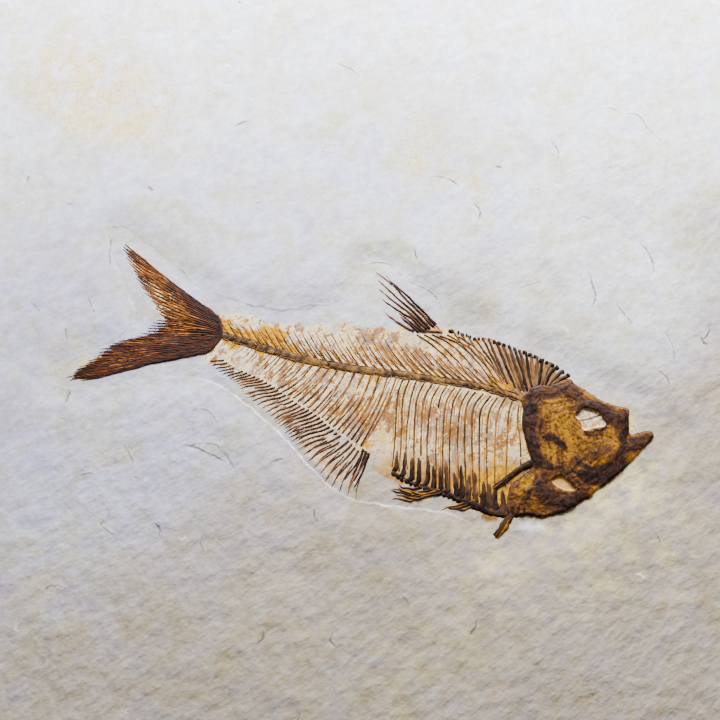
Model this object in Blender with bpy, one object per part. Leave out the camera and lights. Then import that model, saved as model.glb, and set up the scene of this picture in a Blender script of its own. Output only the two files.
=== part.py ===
"""A fossil herring in a limestone slab.

The slab lies on its sawn back, +Z up, with its long side along X. The fish lies on its side in
a shallow pocket in the upper face, head to +X and back to +Y. Each group of bones that holds
together is one object.
"""

import math

import bmesh
import bpy
from mathutils import Vector, noise

MM = 0.001

# Driving dimensions, in millimetres.
SLAB_LENGTH = 220.0
SLAB_WIDTH = 204.0
SLAB_THICKNESS = 12.0
EDGE_CHIP = 2.2
FACE_SWELL = 0.35
FACE_CELL = 12.0
BACK_INSET = 1.3
TOP_INSET = 2.6
POCKET_DEPTH = 1.0
POCKET_SLOPE = 0.7
GAP = 0.3
SKULL_RISE = 1.15
VERTEBRAE = 34

# The pocket's floor, and the height that the bones lie at.
FLOOR = SLAB_THICKNESS - POCKET_DEPTH
LIE = FLOOR + GAP

# Bedding planes that show on the sides: height above the back, how far in the side stands
# just below the plane, and how far in just above it.
LEDGES = ((2.6, 0.2, 1.0), (6.3, 0.6, 0.0), (9.6, 0.9, 1.8))

# Guide curves, seen from above.
POCKET = (
    (-77.5, -15.5), (-70.9, -9.0), (-61.5, -3.5), (-58.0, 2.5), (-63.5, 15.0), (-66.5, 24.5),
    (-62.5, 26.5), (-54.0, 20.5), (-42.0, 10.0), (-30.0, 5.4), (-20.0, 3.4), (-10.0, 4.6),
    (-3.0, 9.5), (0.5, 15.8), (7.5, 16.8), (12.0, 12.0), (19.6, 7.7), (23.5, 2.0),
    (36.0, -2.6), (47.5, -7.4), (57.0, -14.0), (69.0, -19.5), (77.0, -27.0), (72.0, -36.5),
    (59.5, -46.0), (47.0, -52.0), (38.5, -54.5), (32.0, -57.0), (27.5, -51.0), (17.0, -48.2),
    (4.5, -47.4), (-7.0, -46.6), (-14.0, -36.5), (-22.5, -27.5), (-32.0, -19.6), (-41.0, -13.0),
    (-53.0, -14.2), (-65.5, -17.3),
)
BACKBONE = ((-35.6, -3.1), (-29.3, -5.0), (-20.3, -7.9), (-10.1, -10.5), (0.0, -12.2),
            (10.1, -13.5), (20.1, -15.2), (30.2, -17.0), (40.2, -19.9))
SKULL = (
    (43.6, -18.6), (46.5, -16.6), (49.8, -16.2), (53.9, -15.9), (57.7, -18.3), (62.6, -20.9),
    (66.9, -22.4), (67.0, -27.0), (68.3, -28.7), (71.5, -28.0), (73.1, -29.2), (70.9, -32.2),
    (67.2, -35.5), (60.6, -41.1), (56.0, -44.3), (51.0, -47.2), (45.5, -48.9), (40.4, -48.9),
    (37.0, -47.9), (36.8, -44.5), (39.1, -41.0), (43.4, -37.6), (41.4, -33.5), (40.5, -30.5),
    (40.7, -25.5), (41.7, -21.8),
)
HEAD_AXIS = ((45.5, -30.5), (53.0, -30.5), (64.5, -29.5))
EYE = (57.7, -25.2)
EYE_SIZE = (7.0, 4.6)
EYE_RING_CLEAR = 1.8
CHEEK_WINDOW = ((47.2, -41.0), (49.6, -39.9), (52.3, -42.2), (49.6, -43.4))
BACK_EDGE = ((22.8, -1.5), (33.1, -4.7), (43.4, -8.4), (51.4, -12.8))
BACK_BAR_FEET = ((28.0, -8.6), (34.0, -11.0), (38.4, -15.2), (42.0, -16.6), (46.9, -14.8))
BELLY = ((8.0, -37.8), (12.2, -40.6), (18.3, -42.8), (24.3, -45.1), (29.5, -47.6), (34.9, -48.9))
BAR_TOPS = ((9.0, -36.0), (12.8, -37.1), (18.0, -38.6), (24.7, -39.9), (31.0, -42.6), (35.4, -45.4))
PECTORAL = ((40.4, -37.2), (38.2, -38.7), (35.7, -40.4), (32.9, -42.4))
PECTORAL_FAR = ((36.2, -50.0), (34.6, -51.8), (32.9, -53.6))
PELVIC = ((17.6, -44.0), (13.6, -43.9), (10.5, -43.9), (7.4, -43.4))
PELVIC_FAR = ((26.8, -48.2), (23.6, -47.4), (20.4, -47.3))

# Pairs of guide curves whose points match: a bar or a ray runs from each point of the first to
# the same share of the second.
NEURAL = (((-34.5, -3.4), (-19.9, -8.0), (-5.3, -11.4), (9.3, -13.4), (23.9, -15.9), (38.5, -19.3)),
          ((-37.0, 1.3), (-23.5, -1.9), (-9.6, -3.4), (4.8, -4.9), (17.6, -9.0), (33.4, -15.2)))
HAEMAL = (((-34.0, -3.6), (-25.3, -6.4), (-16.6, -9.0), (-8.0, -11.0), (0.7, -12.3), (9.4, -13.4)),
          ((-36.9, -7.3), (-29.3, -11.5), (-22.3, -15.4), (-15.5, -19.8), (-6.3, -25.6), (1.7, -32.0)))
RIBS = (((11.7, -13.8), (20.7, -15.3), (29.6, -16.9), (38.6, -19.3)),
        ((7.6, -33.8), (15.7, -35.0), (25.6, -36.4), (37.6, -35.4)))
ANAL = (((-37.5, -9.7), (-30.6, -12.7), (-24.7, -15.9), (-20.1, -18.8), (-15.0, -22.4),
         (-9.7, -26.1), (-6.0, -29.0), (-2.5, -31.4), (2.2, -34.2)),
        ((-39.3, -10.3), (-35.3, -13.3), (-30.7, -16.4), (-26.5, -20.9), (-22.2, -25.2),
         (-18.6, -28.7), (-14.6, -32.7), (-9.6, -37.6), (-2.2, -43.1)))
TAIL_UPPER = (((-37.4, 0.4), (-37.2, -2.6)),
              ((-61.5, 22.4), (-59.8, 17.0), (-57.6, 12.0), (-54.6, 6.8), (-51.9, 1.6)))
TAIL_LOWER = (((-37.6, -3.4), (-39.0, -7.2)),
              ((-51.4, -2.6), (-58.0, -4.9), (-66.0, -8.6), (-71.0, -12.3), (-73.6, -15.0)))
DORSAL = (((14.4, -1.9), (17.6, -1.7), (20.6, -1.4)),
          ((6.3, 3.0), (4.8, 9.0), (5.6, 14.3)))
TAIL_ROOT = ((-37.0, 1.2), (-43.4, 6.8), (-44.6, 2.4), (-41.8, -2.9), (-46.4, -6.0),
             (-45.6, -9.4), (-38.2, -7.8), (-36.5, -2.9))

# Raised bones of the head: where each runs, its width and its height.
SKULL_RIDGES = (
    (((43.3, -20.2), (41.9, -24.0), (41.9, -28.5), (43.0, -33.0), (45.6, -36.4)), 2.2, 1.0),
    (((63.0, -22.4), (65.4, -25.4), (66.2, -29.0), (64.2, -33.4), (60.6, -36.9),
      (55.6, -37.3), (52.4, -35.0)), 1.8, 0.9),
    (((71.4, -29.7), (68.4, -33.0), (63.8, -36.8), (58.6, -40.4), (53.6, -43.4)), 1.8, 0.7),
    (((46.5, -17.9), (51.4, -17.9), (57.2, -20.2), (62.3, -22.6)), 1.6, 0.8),
    (((44.4, -36.9), (48.4, -38.4), (53.6, -40.4), (54.6, -43.0)), 1.4, 0.8),
    (((38.2, -47.4), (43.6, -48.0), (48.5, -46.6), (53.6, -43.9)), 1.4, 0.6),
)


def spline_point(guide, i, t, closed):
    """A point on the Catmull-Rom curve, at share t of the way from guide point i to the next."""
    last = len(guide) - 1
    if closed:
        a, b, c, d = (guide[k % (last + 1)] for k in (i - 1, i, i + 1, i + 2))
    else:
        a, b, c, d = (guide[min(max(k, 0), last)] for k in (i - 1, i, i + 1, i + 2))
    return 0.5 * (2 * b + (c - a) * t + (2 * a - 5 * b + 4 * c - d) * t * t
                  + (3 * b - 3 * c + d - a) * t ** 3)


def matched(points, count):
    """count points along a curve, with the same number between one guide point and the next."""
    guide = [Vector(p) for p in points]
    found = []
    for k in range(count):
        at = (len(guide) - 1) * k / (count - 1)
        i = min(int(at), len(guide) - 2)
        found.append(spline_point(guide, i, at - i, False))
    return found


def even(points, count, closed=False):
    """count points evenly spaced along a curve through the guide points."""
    guide = [Vector(p) for p in points]
    spans = len(guide) if closed else len(guide) - 1
    fine = [spline_point(guide, i, k / 8, closed) for i in range(spans) for k in range(8)]
    fine.append(guide[0] if closed else guide[-1])
    reach = [0.0]
    for a, b in zip(fine, fine[1:]):
        reach.append(reach[-1] + (b - a).length)
    found = []
    for i in range(count):
        want = reach[-1] * i / (count if closed else count - 1)
        k = max(j for j in range(len(fine) - 1) if reach[j] <= want)
        found.append(fine[k].lerp(fine[k + 1], (want - reach[k]) / (reach[k + 1] - reach[k])))
    return found


def bow(start, end, lean, count):
    """count points from start to end, bent to the left of the run by lean of its length."""
    run = end - start
    left = Vector((-run.y, run.x))
    return [start + run * t + left * lean * math.sin(math.pi * t)
            for t in (i / (count - 1) for i in range(count))]


def taper(start, middle, end, count):
    """count values that run from start through middle, at half way, to end."""
    values = []
    for i in range(count):
        t = 2 * i / (count - 1)
        values.append(start + (middle - start) * t if t < 1 else middle + (end - middle) * (t - 1))
    return values


def beaded(values, waist):
    """The values with every second one narrowed to waist of itself."""
    return [value * (waist if i % 2 else 1.0) for i, value in enumerate(values)]


def left_of(points, i):
    """The unit vector to the left of the path at point i."""
    run = points[min(i + 1, len(points) - 1)] - points[max(i - 1, 0)]
    return Vector((-run.y, run.x)).normalized()


def add_ridge(bm, path, widths, heights, base=LIE):
    """A sharp-crested bar along path: flat below, with a foot width and a height at each point."""
    rows = []
    for i, (point, width, height) in enumerate(zip(path, widths, heights)):
        out = left_of(path, i) * width / 2
        rows.append([
            bm.verts.new((point.x + out.x, point.y + out.y, base)),
            bm.verts.new((point.x - out.x, point.y - out.y, base)),
            bm.verts.new((point.x, point.y, base + height)),
        ])
    for before, after in zip(rows, rows[1:]):
        for j in range(3):
            k = (j + 1) % 3
            bm.faces.new((before[j], after[j], after[k], before[k]))
    bm.faces.new(rows[0])
    bm.faces.new(rows[-1][::-1])


def add_fan(bm, pair, count, lean, width, height, stations=3):
    """Rays from one guide curve to another. Each sits a hair higher than the one before it."""
    starts, ends = (matched(guide, count) for guide in pair)
    for i, (start, end) in enumerate(zip(starts, ends)):
        add_ridge(bm, bow(start, end, lean, stations), taper(width, width, width / 2, stations),
                  taper(height, 0.9 * height, 0.6 * height, stations), LIE + 0.02 + 0.003 * i)


def add_loft(bm, rings):
    """A closed shape through rings of points with the same count, lowest ring first."""
    rows = [[bm.verts.new(p) for p in ring] for ring in rings]
    for lower, upper in zip(rows, rows[1:]):
        for i in range(len(lower)):
            j = (i + 1) % len(lower)
            bm.faces.new((lower[i], lower[j], upper[j], upper[i]))
    bm.faces.new(rows[0][::-1])
    bm.faces.new(rows[-1])


def add_plate(bm, points, bottom, top):
    """A flat plate of the outline, from one height to another."""
    add_loft(bm, [[(p[0], p[1], z) for p in points] for z in (bottom, top)])


def mineral(colour, roughness):
    """A plain stone or bone finish."""
    material = bpy.data.materials.new("mineral")
    material.use_nodes = True
    shader = material.node_tree.nodes["Principled BSDF"]
    shader.inputs["Base Color"].default_value = (*colour, 1.0)
    shader.inputs["Roughness"].default_value = roughness
    shader.inputs["Metallic"].default_value = 0.0
    return material


def object_of(bm, name, material=None):
    """An object of the mesh, scaled from millimetres to metres, with its faces turned out."""
    bmesh.ops.recalc_face_normals(bm, faces=bm.faces)
    bmesh.ops.scale(bm, vec=(MM, MM, MM), verts=bm.verts)
    mesh = bpy.data.meshes.new(name)
    bm.to_mesh(mesh)
    bm.free()
    if material:
        material.name = name + "_finish"
        mesh.materials.append(material)
    made = bpy.data.objects.new(name, mesh)
    bpy.context.collection.objects.link(made)
    return made


def combine(target, helper, operation):
    """Joins helper to target, or cuts it out, and hides the helper."""
    helper.hide_render = True
    helper.display_type = "WIRE"
    modifier = target.modifiers.new(operation.lower(), "BOOLEAN")
    modifier.operation = operation
    modifier.solver = "EXACT"
    modifier.use_self = operation == "UNION"
    modifier.object = helper


def chipped_edge(seed, count):
    """How far in from the full size each point of a broken edge stands, 0 at its farthest out."""
    depths = []
    for i in range(count):
        t = i / (count - 1)
        wander = noise.noise((t * 5.0, seed, 0.5)) + 0.5 * noise.noise((t * 17.0, seed, 4.5))
        corner = max(0.0, 1 - min(t, 1 - t) / 0.06) ** 2
        depths.append(EDGE_CHIP * (wander + 1.6 * corner))
    least = min(depths)
    return [depth - least for depth in depths]


def face_height(x, y):
    """The slab's upper face, which swells gently as a split face does."""
    swell = noise.noise((x * 0.021, y * 0.021, 3.7)) + 0.45 * noise.noise((x * 0.07, y * 0.07, 9.1))
    return SLAB_THICKNESS + FACE_SWELL * (swell - 0.55)


def make_slab():
    """The slab: a grid for the upper face, rings down the broken sides, and a flat back."""
    columns = round(SLAB_LENGTH / FACE_CELL)
    rows = round(SLAB_WIDTH / FACE_CELL)
    west, east = chipped_edge(1.3, rows + 1), chipped_edge(7.9, rows + 1)
    south, north = chipped_edge(13.1, columns + 1), chipped_edge(21.7, columns + 1)

    def place(i, j, inset):
        left = -SLAB_LENGTH / 2 + west[j] + inset
        right = SLAB_LENGTH / 2 - east[j] - inset
        low = -SLAB_WIDTH / 2 + south[i] + inset
        high = SLAB_WIDTH / 2 - north[i] - inset
        return left + (right - left) * i / columns, low + (high - low) * j / rows

    bm = bmesh.new()
    face = {}
    for i in range(columns + 1):
        for j in range(rows + 1):
            x, y = place(i, j, TOP_INSET)
            face[i, j] = bm.verts.new((x, y, face_height(x, y)))
    for i in range(columns):
        for j in range(rows):
            bm.faces.new((face[i, j], face[i + 1, j], face[i + 1, j + 1], face[i, j + 1]))

    rim = [(i, 0) for i in range(columns)] + [(columns, j) for j in range(rows)]
    rim += [(i, rows) for i in range(columns, 0, -1)] + [(0, j) for j in range(rows, 0, -1)]
    levels = []
    for height, inset_below, inset_above in reversed(LEDGES):
        levels += [(height, inset_above), (height, inset_below)]
    levels.append((0.0, BACK_INSET))
    above = [face[at] for at in rim]
    for layer, (height, inset) in enumerate(levels):
        ring = []
        for i, j in rim:
            ragged = 0.5 + 0.5 * noise.noise((i * 0.7, j * 0.7, 2.3 * (layer // 2)))
            x, y = place(i, j, inset + ragged * min(1.0, inset))
            ring.append(bm.verts.new((x, y, height)))
        for k in range(len(rim)):
            after = (k + 1) % len(rim)
            bm.faces.new((above[k], above[after], ring[after], ring[k]))
        above = ring
    bm.faces.new(above)
    slab = object_of(bm, "limestone_slab", mineral((0.66, 0.64, 0.61), 0.9))

    wall = 2.5 * POCKET_DEPTH
    steps = 56
    foot = even(POCKET, steps, closed=True)
    lip = [p + left_of([foot[i - 1], p, foot[(i + 1) % steps]], 1) * wall * POCKET_SLOPE
           for i, p in enumerate(foot)]
    bm = bmesh.new()
    add_loft(bm, [[(p.x, p.y, FLOOR) for p in foot], [(p.x, p.y, FLOOR + wall) for p in lip]])
    combine(slab, object_of(bm, "pocket_cutter"), "DIFFERENCE")


def eye_point(turn, clear):
    """A point round the eye socket, that far out from its edge."""
    return Vector((EYE[0] + (EYE_SIZE[0] / 2 + clear) * math.cos(turn),
                   EYE[1] + (EYE_SIZE[1] / 2 + clear) * math.sin(turn)))


def make_skull():
    """The crushed head: a low dome with raised bones, a ring round the eye, and two openings."""
    rim = even(SKULL, 44, closed=True)
    axis = even(HEAD_AXIS, 25)

    def ring(height, pull):
        inner = [p.lerp(min(axis, key=lambda a: (a - p).length), pull) for p in rim]
        return [(p.x, p.y, height) for p in inner]

    bm = bmesh.new()
    edge = LIE + 0.45 * SKULL_RISE
    add_loft(bm, [ring(LIE, 0.0), ring(edge, 0.0), ring(LIE + 0.8 * SKULL_RISE, 0.14),
                  ring(LIE + SKULL_RISE, 0.5)])
    skull = object_of(bm, "skull", mineral((0.30, 0.15, 0.05), 0.5))

    bm = bmesh.new()
    stations = 9
    for k, (guide, width, height) in enumerate(SKULL_RIDGES):
        add_ridge(bm, even(guide, stations), taper(0.5 * width, width, 0.5 * width, stations),
                  taper(0.7 * height, height, 0.6 * height, stations), edge - 0.05 + 0.05 * k)
    stations = 17
    eye_ring = [eye_point(math.pi * (1.02 + 1.63 * k / (stations - 1)), EYE_RING_CLEAR)
                for k in range(stations)]
    add_ridge(bm, eye_ring, taper(0.7, 1.3, 0.7, stations), taper(0.7, 0.9, 0.7, stations), edge + 0.32)
    combine(skull, object_of(bm, "skull_ridges"), "UNION")

    bm = bmesh.new()
    steps = 20
    socket = [eye_point(2 * math.pi * k / steps, 0.0) for k in range(steps)]
    for hole in (socket, CHEEK_WINDOW):
        add_plate(bm, hole, FLOOR, LIE + 4 * SKULL_RISE)
    combine(skull, object_of(bm, "skull_cutter"), "DIFFERENCE")


def make_backbone():
    """The vertebrae as a beaded ridge, with the spines above and below it and the ribs."""
    bm = bmesh.new()
    count = 2 * VERTEBRAE + 1
    add_ridge(bm, even(BACKBONE, count), beaded(taper(2.5, 2.2, 1.2, count), 0.8),
              beaded(taper(0.95, 1.0, 0.7, count), 0.85))
    backbone = object_of(bm, "backbone", mineral((0.30, 0.19, 0.10), 0.6))

    bm = bmesh.new()
    add_fan(bm, NEURAL, 33, 0.0, 0.7, 0.5, stations=2)
    add_fan(bm, HAEMAL, 20, 0.04, 0.75, 0.48)
    add_fan(bm, RIBS, 14, -0.07, 0.85, 0.55, stations=4)
    combine(backbone, object_of(bm, "spines_and_ribs"), "UNION")


def make_scutes(name, edge, feet, count, width, material):
    """A chain of wedge-shaped scutes along edge, with a bar from each towards feet."""
    bm = bmesh.new()
    beads = 2 * count - 1
    add_ridge(bm, even(edge, beads), beaded(taper(0.9, 1.3, 0.9, beads), 0.6),
              beaded(taper(0.5, 0.6, 0.5, beads), 0.6))
    chain = object_of(bm, name, material)

    bm = bmesh.new()
    roots, ends = even(edge, count), matched(feet, count)
    for i in range(1, count - 1):
        add_ridge(bm, bow(roots[i], ends[i], 0.05, 3), taper(width, width, 0.6 * width, 3),
                  taper(0.75, 0.6, 0.4, 3), LIE + 0.03)
    combine(chain, object_of(bm, name + "_bars"), "UNION")


def make_anal_fin():
    """About forty rays, joined by the row of knuckles that they hinge on."""
    bm = bmesh.new()
    rays = 38
    add_ridge(bm, matched(ANAL[0], rays), taper(0.7, 1.0, 1.3, rays), taper(0.4, 0.5, 0.6, rays))
    fin = object_of(bm, "anal_fin", mineral((0.20, 0.10, 0.05), 0.6))

    bm = bmesh.new()
    add_fan(bm, ANAL, rays, 0.03, 0.62, 0.5)
    combine(fin, object_of(bm, "anal_rays"), "UNION")


def make_tail_fin():
    """The forked tail: rays of both lobes, joined by the plates at their root."""
    bm = bmesh.new()
    add_plate(bm, TAIL_ROOT, LIE, LIE + 0.5)
    tail = object_of(bm, "tail_fin", mineral((0.17, 0.07, 0.03), 0.6))

    bm = bmesh.new()
    add_fan(bm, TAIL_UPPER, 12, -0.02, 1.05, 0.65)
    add_fan(bm, TAIL_LOWER, 11, -0.02, 1.05, 0.7)
    combine(tail, object_of(bm, "tail_rays"), "UNION")


def make_dorsal_fin():
    """The fin on the back: eight rays on a short thick root."""
    bm = bmesh.new()
    add_ridge(bm, even(DORSAL[0], 5), taper(1.0, 1.5, 1.9, 5), taper(0.5, 0.7, 0.9, 5))
    fin = object_of(bm, "dorsal_fin", mineral((0.15, 0.07, 0.04), 0.6))

    bm = bmesh.new()
    add_fan(bm, DORSAL, 8, -0.03, 0.8, 0.6, stations=4)
    combine(fin, object_of(bm, "dorsal_rays"), "UNION")


def make_folded_fin(name, guide, widths, strands, spread):
    """A folded fin: strands that leave one thick root and part a little towards their tips."""
    stations = 5
    bm = bmesh.new()
    path = even(guide, stations)
    add_ridge(bm, path, taper(*widths, stations), taper(0.7, 0.7, 0.4, stations))
    fin = object_of(bm, name, mineral((0.07, 0.03, 0.02), 0.5))

    bm = bmesh.new()
    for k in range(strands):
        aside = spread * (k - (strands - 1) / 2)
        strand = [p + left_of(path, i) * aside * (i / (stations - 1)) ** 1.5
                  for i, p in enumerate(path)]
        end = strand[-1] + (strand[-1] - strand[-2]) * (0.6 if k % 2 else 0.3)
        add_ridge(bm, strand[1:] + [end], taper(widths[0] * 0.4, widths[1] * 0.5, 0.3, stations),
                  taper(0.6, 0.55, 0.3, stations), LIE + 0.04 + 0.03 * k)
    combine(fin, object_of(bm, name + "_strands"), "UNION")


for thing in list(bpy.data.objects):
    bpy.data.objects.remove(thing, do_unlink=True)
make_slab()
make_skull()
make_backbone()
make_scutes("back_scutes", BACK_EDGE, BACK_BAR_FEET, 18, 1.0, mineral((0.10, 0.05, 0.03), 0.5))
make_scutes("belly_scutes", BELLY, BAR_TOPS, 17, 0.95, mineral((0.12, 0.06, 0.03), 0.5))
make_dorsal_fin()
make_anal_fin()
make_tail_fin()
make_folded_fin("pectoral_fin", PECTORAL, (1.5, 1.3, 0.8), 3, 0.8)
make_folded_fin("pectoral_fin_far", PECTORAL_FAR, (1.6, 2.2, 1.4), 3, 1.0)
make_folded_fin("pelvic_fin", PELVIC, (0.9, 1.0, 0.5), 4, 1.0)
make_folded_fin("pelvic_fin_far", PELVIC_FAR, (0.8, 0.8, 0.4), 2, 0.6)
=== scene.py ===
import math

import bpy
import numpy as np
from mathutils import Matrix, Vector, geometry, noise


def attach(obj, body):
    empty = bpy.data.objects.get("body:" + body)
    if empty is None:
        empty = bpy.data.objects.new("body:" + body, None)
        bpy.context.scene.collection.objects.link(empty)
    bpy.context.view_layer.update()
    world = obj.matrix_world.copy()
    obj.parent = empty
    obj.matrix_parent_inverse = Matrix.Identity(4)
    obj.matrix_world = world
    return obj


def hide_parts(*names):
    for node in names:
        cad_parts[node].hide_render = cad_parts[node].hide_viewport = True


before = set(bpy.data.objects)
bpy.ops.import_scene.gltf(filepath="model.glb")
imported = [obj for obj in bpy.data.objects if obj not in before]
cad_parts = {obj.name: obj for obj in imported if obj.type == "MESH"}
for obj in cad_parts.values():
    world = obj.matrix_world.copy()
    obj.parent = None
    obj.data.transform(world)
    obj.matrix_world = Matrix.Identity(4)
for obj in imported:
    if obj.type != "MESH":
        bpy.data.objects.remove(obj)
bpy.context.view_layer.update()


# Limestone slab.
# A split slab of fine pale lake limestone, broken along its sides and sawn flat behind. The
# pocket round the fish was cut down to its bed with an air scribe, which left a short slope.

MM = 0.001
SLAB_LENGTH = 220.0
SLAB_WIDTH = 204.0
SLAB_THICKNESS = 12.0
FLOOR = 11.0
EDGE_CHIP = 2.2
TOP_INSET = 2.6
FACE_SWELL = 0.35
LIP_RISE = 0.2
SLOPE = 7.5
FLAKE_COUNT = 96
DARK_FLAKES = 48
FLAKE_CLEAR = 5.0
FLAKE_STEP = 0.13
LEDGES = (
    (12, 2.6), (11.2, 2.1), (10.3, 1.9), (9.6, 1.8), (9.55, 0.9), (8.3, 0.9), (8.2, 0.5), (7, 0.35),
    (6.3, 0), (6.2, 0.6), (5, 0.7), (4.9, 0.4), (3.7, 0.9), (2.6, 1), (2.5, 0.2), (1.4, 0.5), (0.6, 0.9),
    (0, 1.3))
POCKET = (
    (-77.5, -15.5), (-70.9, -9), (-61.5, -3.5), (-58, 2.5), (-63.5, 15), (-66.5, 24.5), (-62.5, 26.5),
    (-54, 20.5), (-42, 10), (-30, 5.4), (-20, 3.4), (-10, 4.6), (-3, 9.5), (0.5, 15.8), (7.5, 16.8),
    (12, 12), (19.6, 7.7), (23.5, 2), (36, -2.6), (47.5, -7.4), (57, -14), (69, -19.5), (77, -27),
    (72, -36.5), (59.5, -46), (47, -52), (38.5, -54.5), (32, -57), (27.5, -51), (19.5, -47.9), (5.6, -46.3),
    (-4, -44), (-12.1, -37.1), (-21.3, -27.3), (-32.1, -18.5), (-40.4, -14.6), (-53, -14.4), (-65.5, -17.3))
# How crisp the pocket's lip is at each of those points: elsewhere the stone just slopes up.
LIP = (
    0.1, 0.3, 0.6, 0.4, 0.2, 0.4, 0.5, 0.3, 0.15, 0.5, 0.6, 0.3, 0, 0, 0, 0, 0, 0, 0, 0, 0, 0, 0, 0, 0, 0.1,
    0.1, 0, 0.1, 0.8, 0.8, 0.4, 0.9, 0.9, 0.9, 0.4, 0.1, 0.1)
BODY = (
    (-35.9, 1.2), (-28.2, 1.4), (-17.9, 0.3), (-5.1, -0.7), (7.7, -1.3), (20.4, -2.1), (29.3, -3.9),
    (38.1, -6.6), (48.1, -10.8), (54.1, -15.7), (66, -24), (67.5, -30), (58.6, -41.6), (46, -48.6),
    (35.1, -49.2), (26.7, -47.3), (17.1, -43.4), (8.4, -39.2), (2.2, -35.2), (-10.5, -27.9), (-21.2, -20.4),
    (-31.4, -14), (-38.2, -10.2))
BACKBONE = (
    (-35.6, -3.1), (-29.3, -5), (-20.3, -7.9), (-10.1, -10.5), (0, -12.2), (10.1, -13.5), (20.1, -15),
    (30.2, -16.6), (37.5, -18.7), (42.6, -20.8))
TAIL_STAIN = (
    (-35.9, -1.3), (-36.5, 1.6), (-39.3, 4.2), (-42.8, 5.6), (-45.9, 8.3), (-50.1, 12), (-56.4, 18.4),
    (-61, 21.6), (-59.2, 15.6), (-55, 8.9), (-52.6, 4), (-50.4, 0.6), (-51.6, -1.8), (-56.6, -4.4),
    (-61.7, -6.3), (-67.6, -9.6), (-70.4, -12.8), (-72.6, -14.7), (-66.9, -14.6), (-62.2, -12.8),
    (-54.6, -11), (-42.1, -8.7), (-38.2, -7))
ANAL_STAIN = (
    (-28.1, -13.6), (-19.6, -18.6), (-9.7, -25.4), (-2, -31.4), (2.4, -34.2), (-1.8, -42), (-8.8, -39),
    (-12.6, -35), (-16.5, -30), (-24.3, -22.3), (-31.7, -15.7))
DORSAL_STAIN = (
    (16.1, -2.2), (21.3, -2), (19.3, 0.2), (14.8, 4.3), (10.6, 8.2), (8, 9.2), (10.2, 5.9), (8.4, 4),
    (12.3, 0.6))
FLAKES = (
    ((59.3, 15), (60.8, 7.1), (59.1, 3.5)), ((41.1, 9.2), (47.2, 11.3)), ((28.2, 7.1), (31.1, 5.1)),
    ((34, 3.5), (37.8, 1.4)), ((66.1, 5.1), (70, -0.6)), ((75.3, 18.8), (77.1, 15.6)),
    ((0, 15.6), (3, 16.6), (8, 16.1), (11.9, 11.9)), ((11.9, 11.9), (18.8, 8.2), (21.6, 3)),
    ((-70.1, 7), (-68.2, 2.6)), ((-75.5, -1.3), (-74.5, -5.4)), ((-73.2, -17.4), (-74, -21.6)),
    ((-58.3, -31.5), (-55.6, -36)), ((-33.9, -32.4), (-31.9, -35.3), (-29.7, -39.5)),
    ((-20.6, 3.3), (-14.2, 4.9), (-7.3, 4.9)), ((-66.3, 27.2), (-63, 26.1)),
    ((-25.5, -43.7), (-19.5, -42.3)), ((-70.6, -40), (-67.4, -38.6)),
    ((-65.4, 25), (-65.8, 19.7), (-65.2, 15.4)), ((-47.3, 15.4), (-44.1, 12.2)),
    ((-33.3, -35.7), (-41.5, -31.9), (-44.8, -32.4)), ((-6.9, 75.8), (-2.8, 73.9), (0, 71.4)),
    ((-10.8, 48.7), (-6.8, 48.2)), ((18.8, 41.3), (23.3, 40.5), (26.7, 38.1)),
    ((51.5, 51.7), (53.5, 48.7), (53.3, 45.2)), ((65.2, 61.8), (68.5, 61.8), (71.1, 60.2)),
    ((72.7, 59.9), (76.2, 59.3), (78.4, 55.4), (82.1, 51.4)), ((56.8, 28.3), (59.5, 29.2), (62.6, 27.7)),
    ((69.6, 22.6), (73.5, 21.8), (75.8, 18.4), (76.7, 12.9)), ((78, -2.1), (79.4, -6), (79.8, -10)),
    ((75.3, -12.6), (77.2, -14.2), (78, -16.5)), ((-69.7, -39.9), (-67.4, -38.7), (-64.2, -39.2)),
    ((-57.3, -39.2), (-54.3, -39.7), (-51.9, -40.4)), ((-62.5, -51.2), (-60.7, -52.7), (-58.8, -53.6)),
    ((-42.9, -23.4), (-40, -22.4), (-37.4, -23.4), (-35.8, -25.5)), ((-73.6, -20.9), (-72.8, -17.8)),
    ((-44.4, -32.5), (-40.8, -31.5), (-37.1, -31.2), (-34, -33), (-30.7, -37.9)),
    ((-35.6, -53.9), (-34.1, -55.5), (-32.6, -56.7)), ((-28.7, 32.6), (-26.1, 34.1)),
    ((29.3, 34.1), (31.8, 31.2), (31.2, 27.7)), ((8.2, -77.8), (11.7, -76), (15.2, -76.9)),
    ((47.3, -68.7), (50.7, -70.3), (54.3, -69.9)), ((-14.3, -59.5), (-10.8, -57.9), (-7.2, -58.6)),
    ((28.2, -73.3), (31.8, -71.5)), ((-75.9, -66.5), (-72.4, -65.3), (-68.8, -66.5)),
    ((67.7, -50.1), (71.1, -52.4), (72.5, -56)), ((-79.8, 34.1), (-75.7, 32.6)), ((-85.1, 6), (-82.2, 2.8)))
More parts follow.
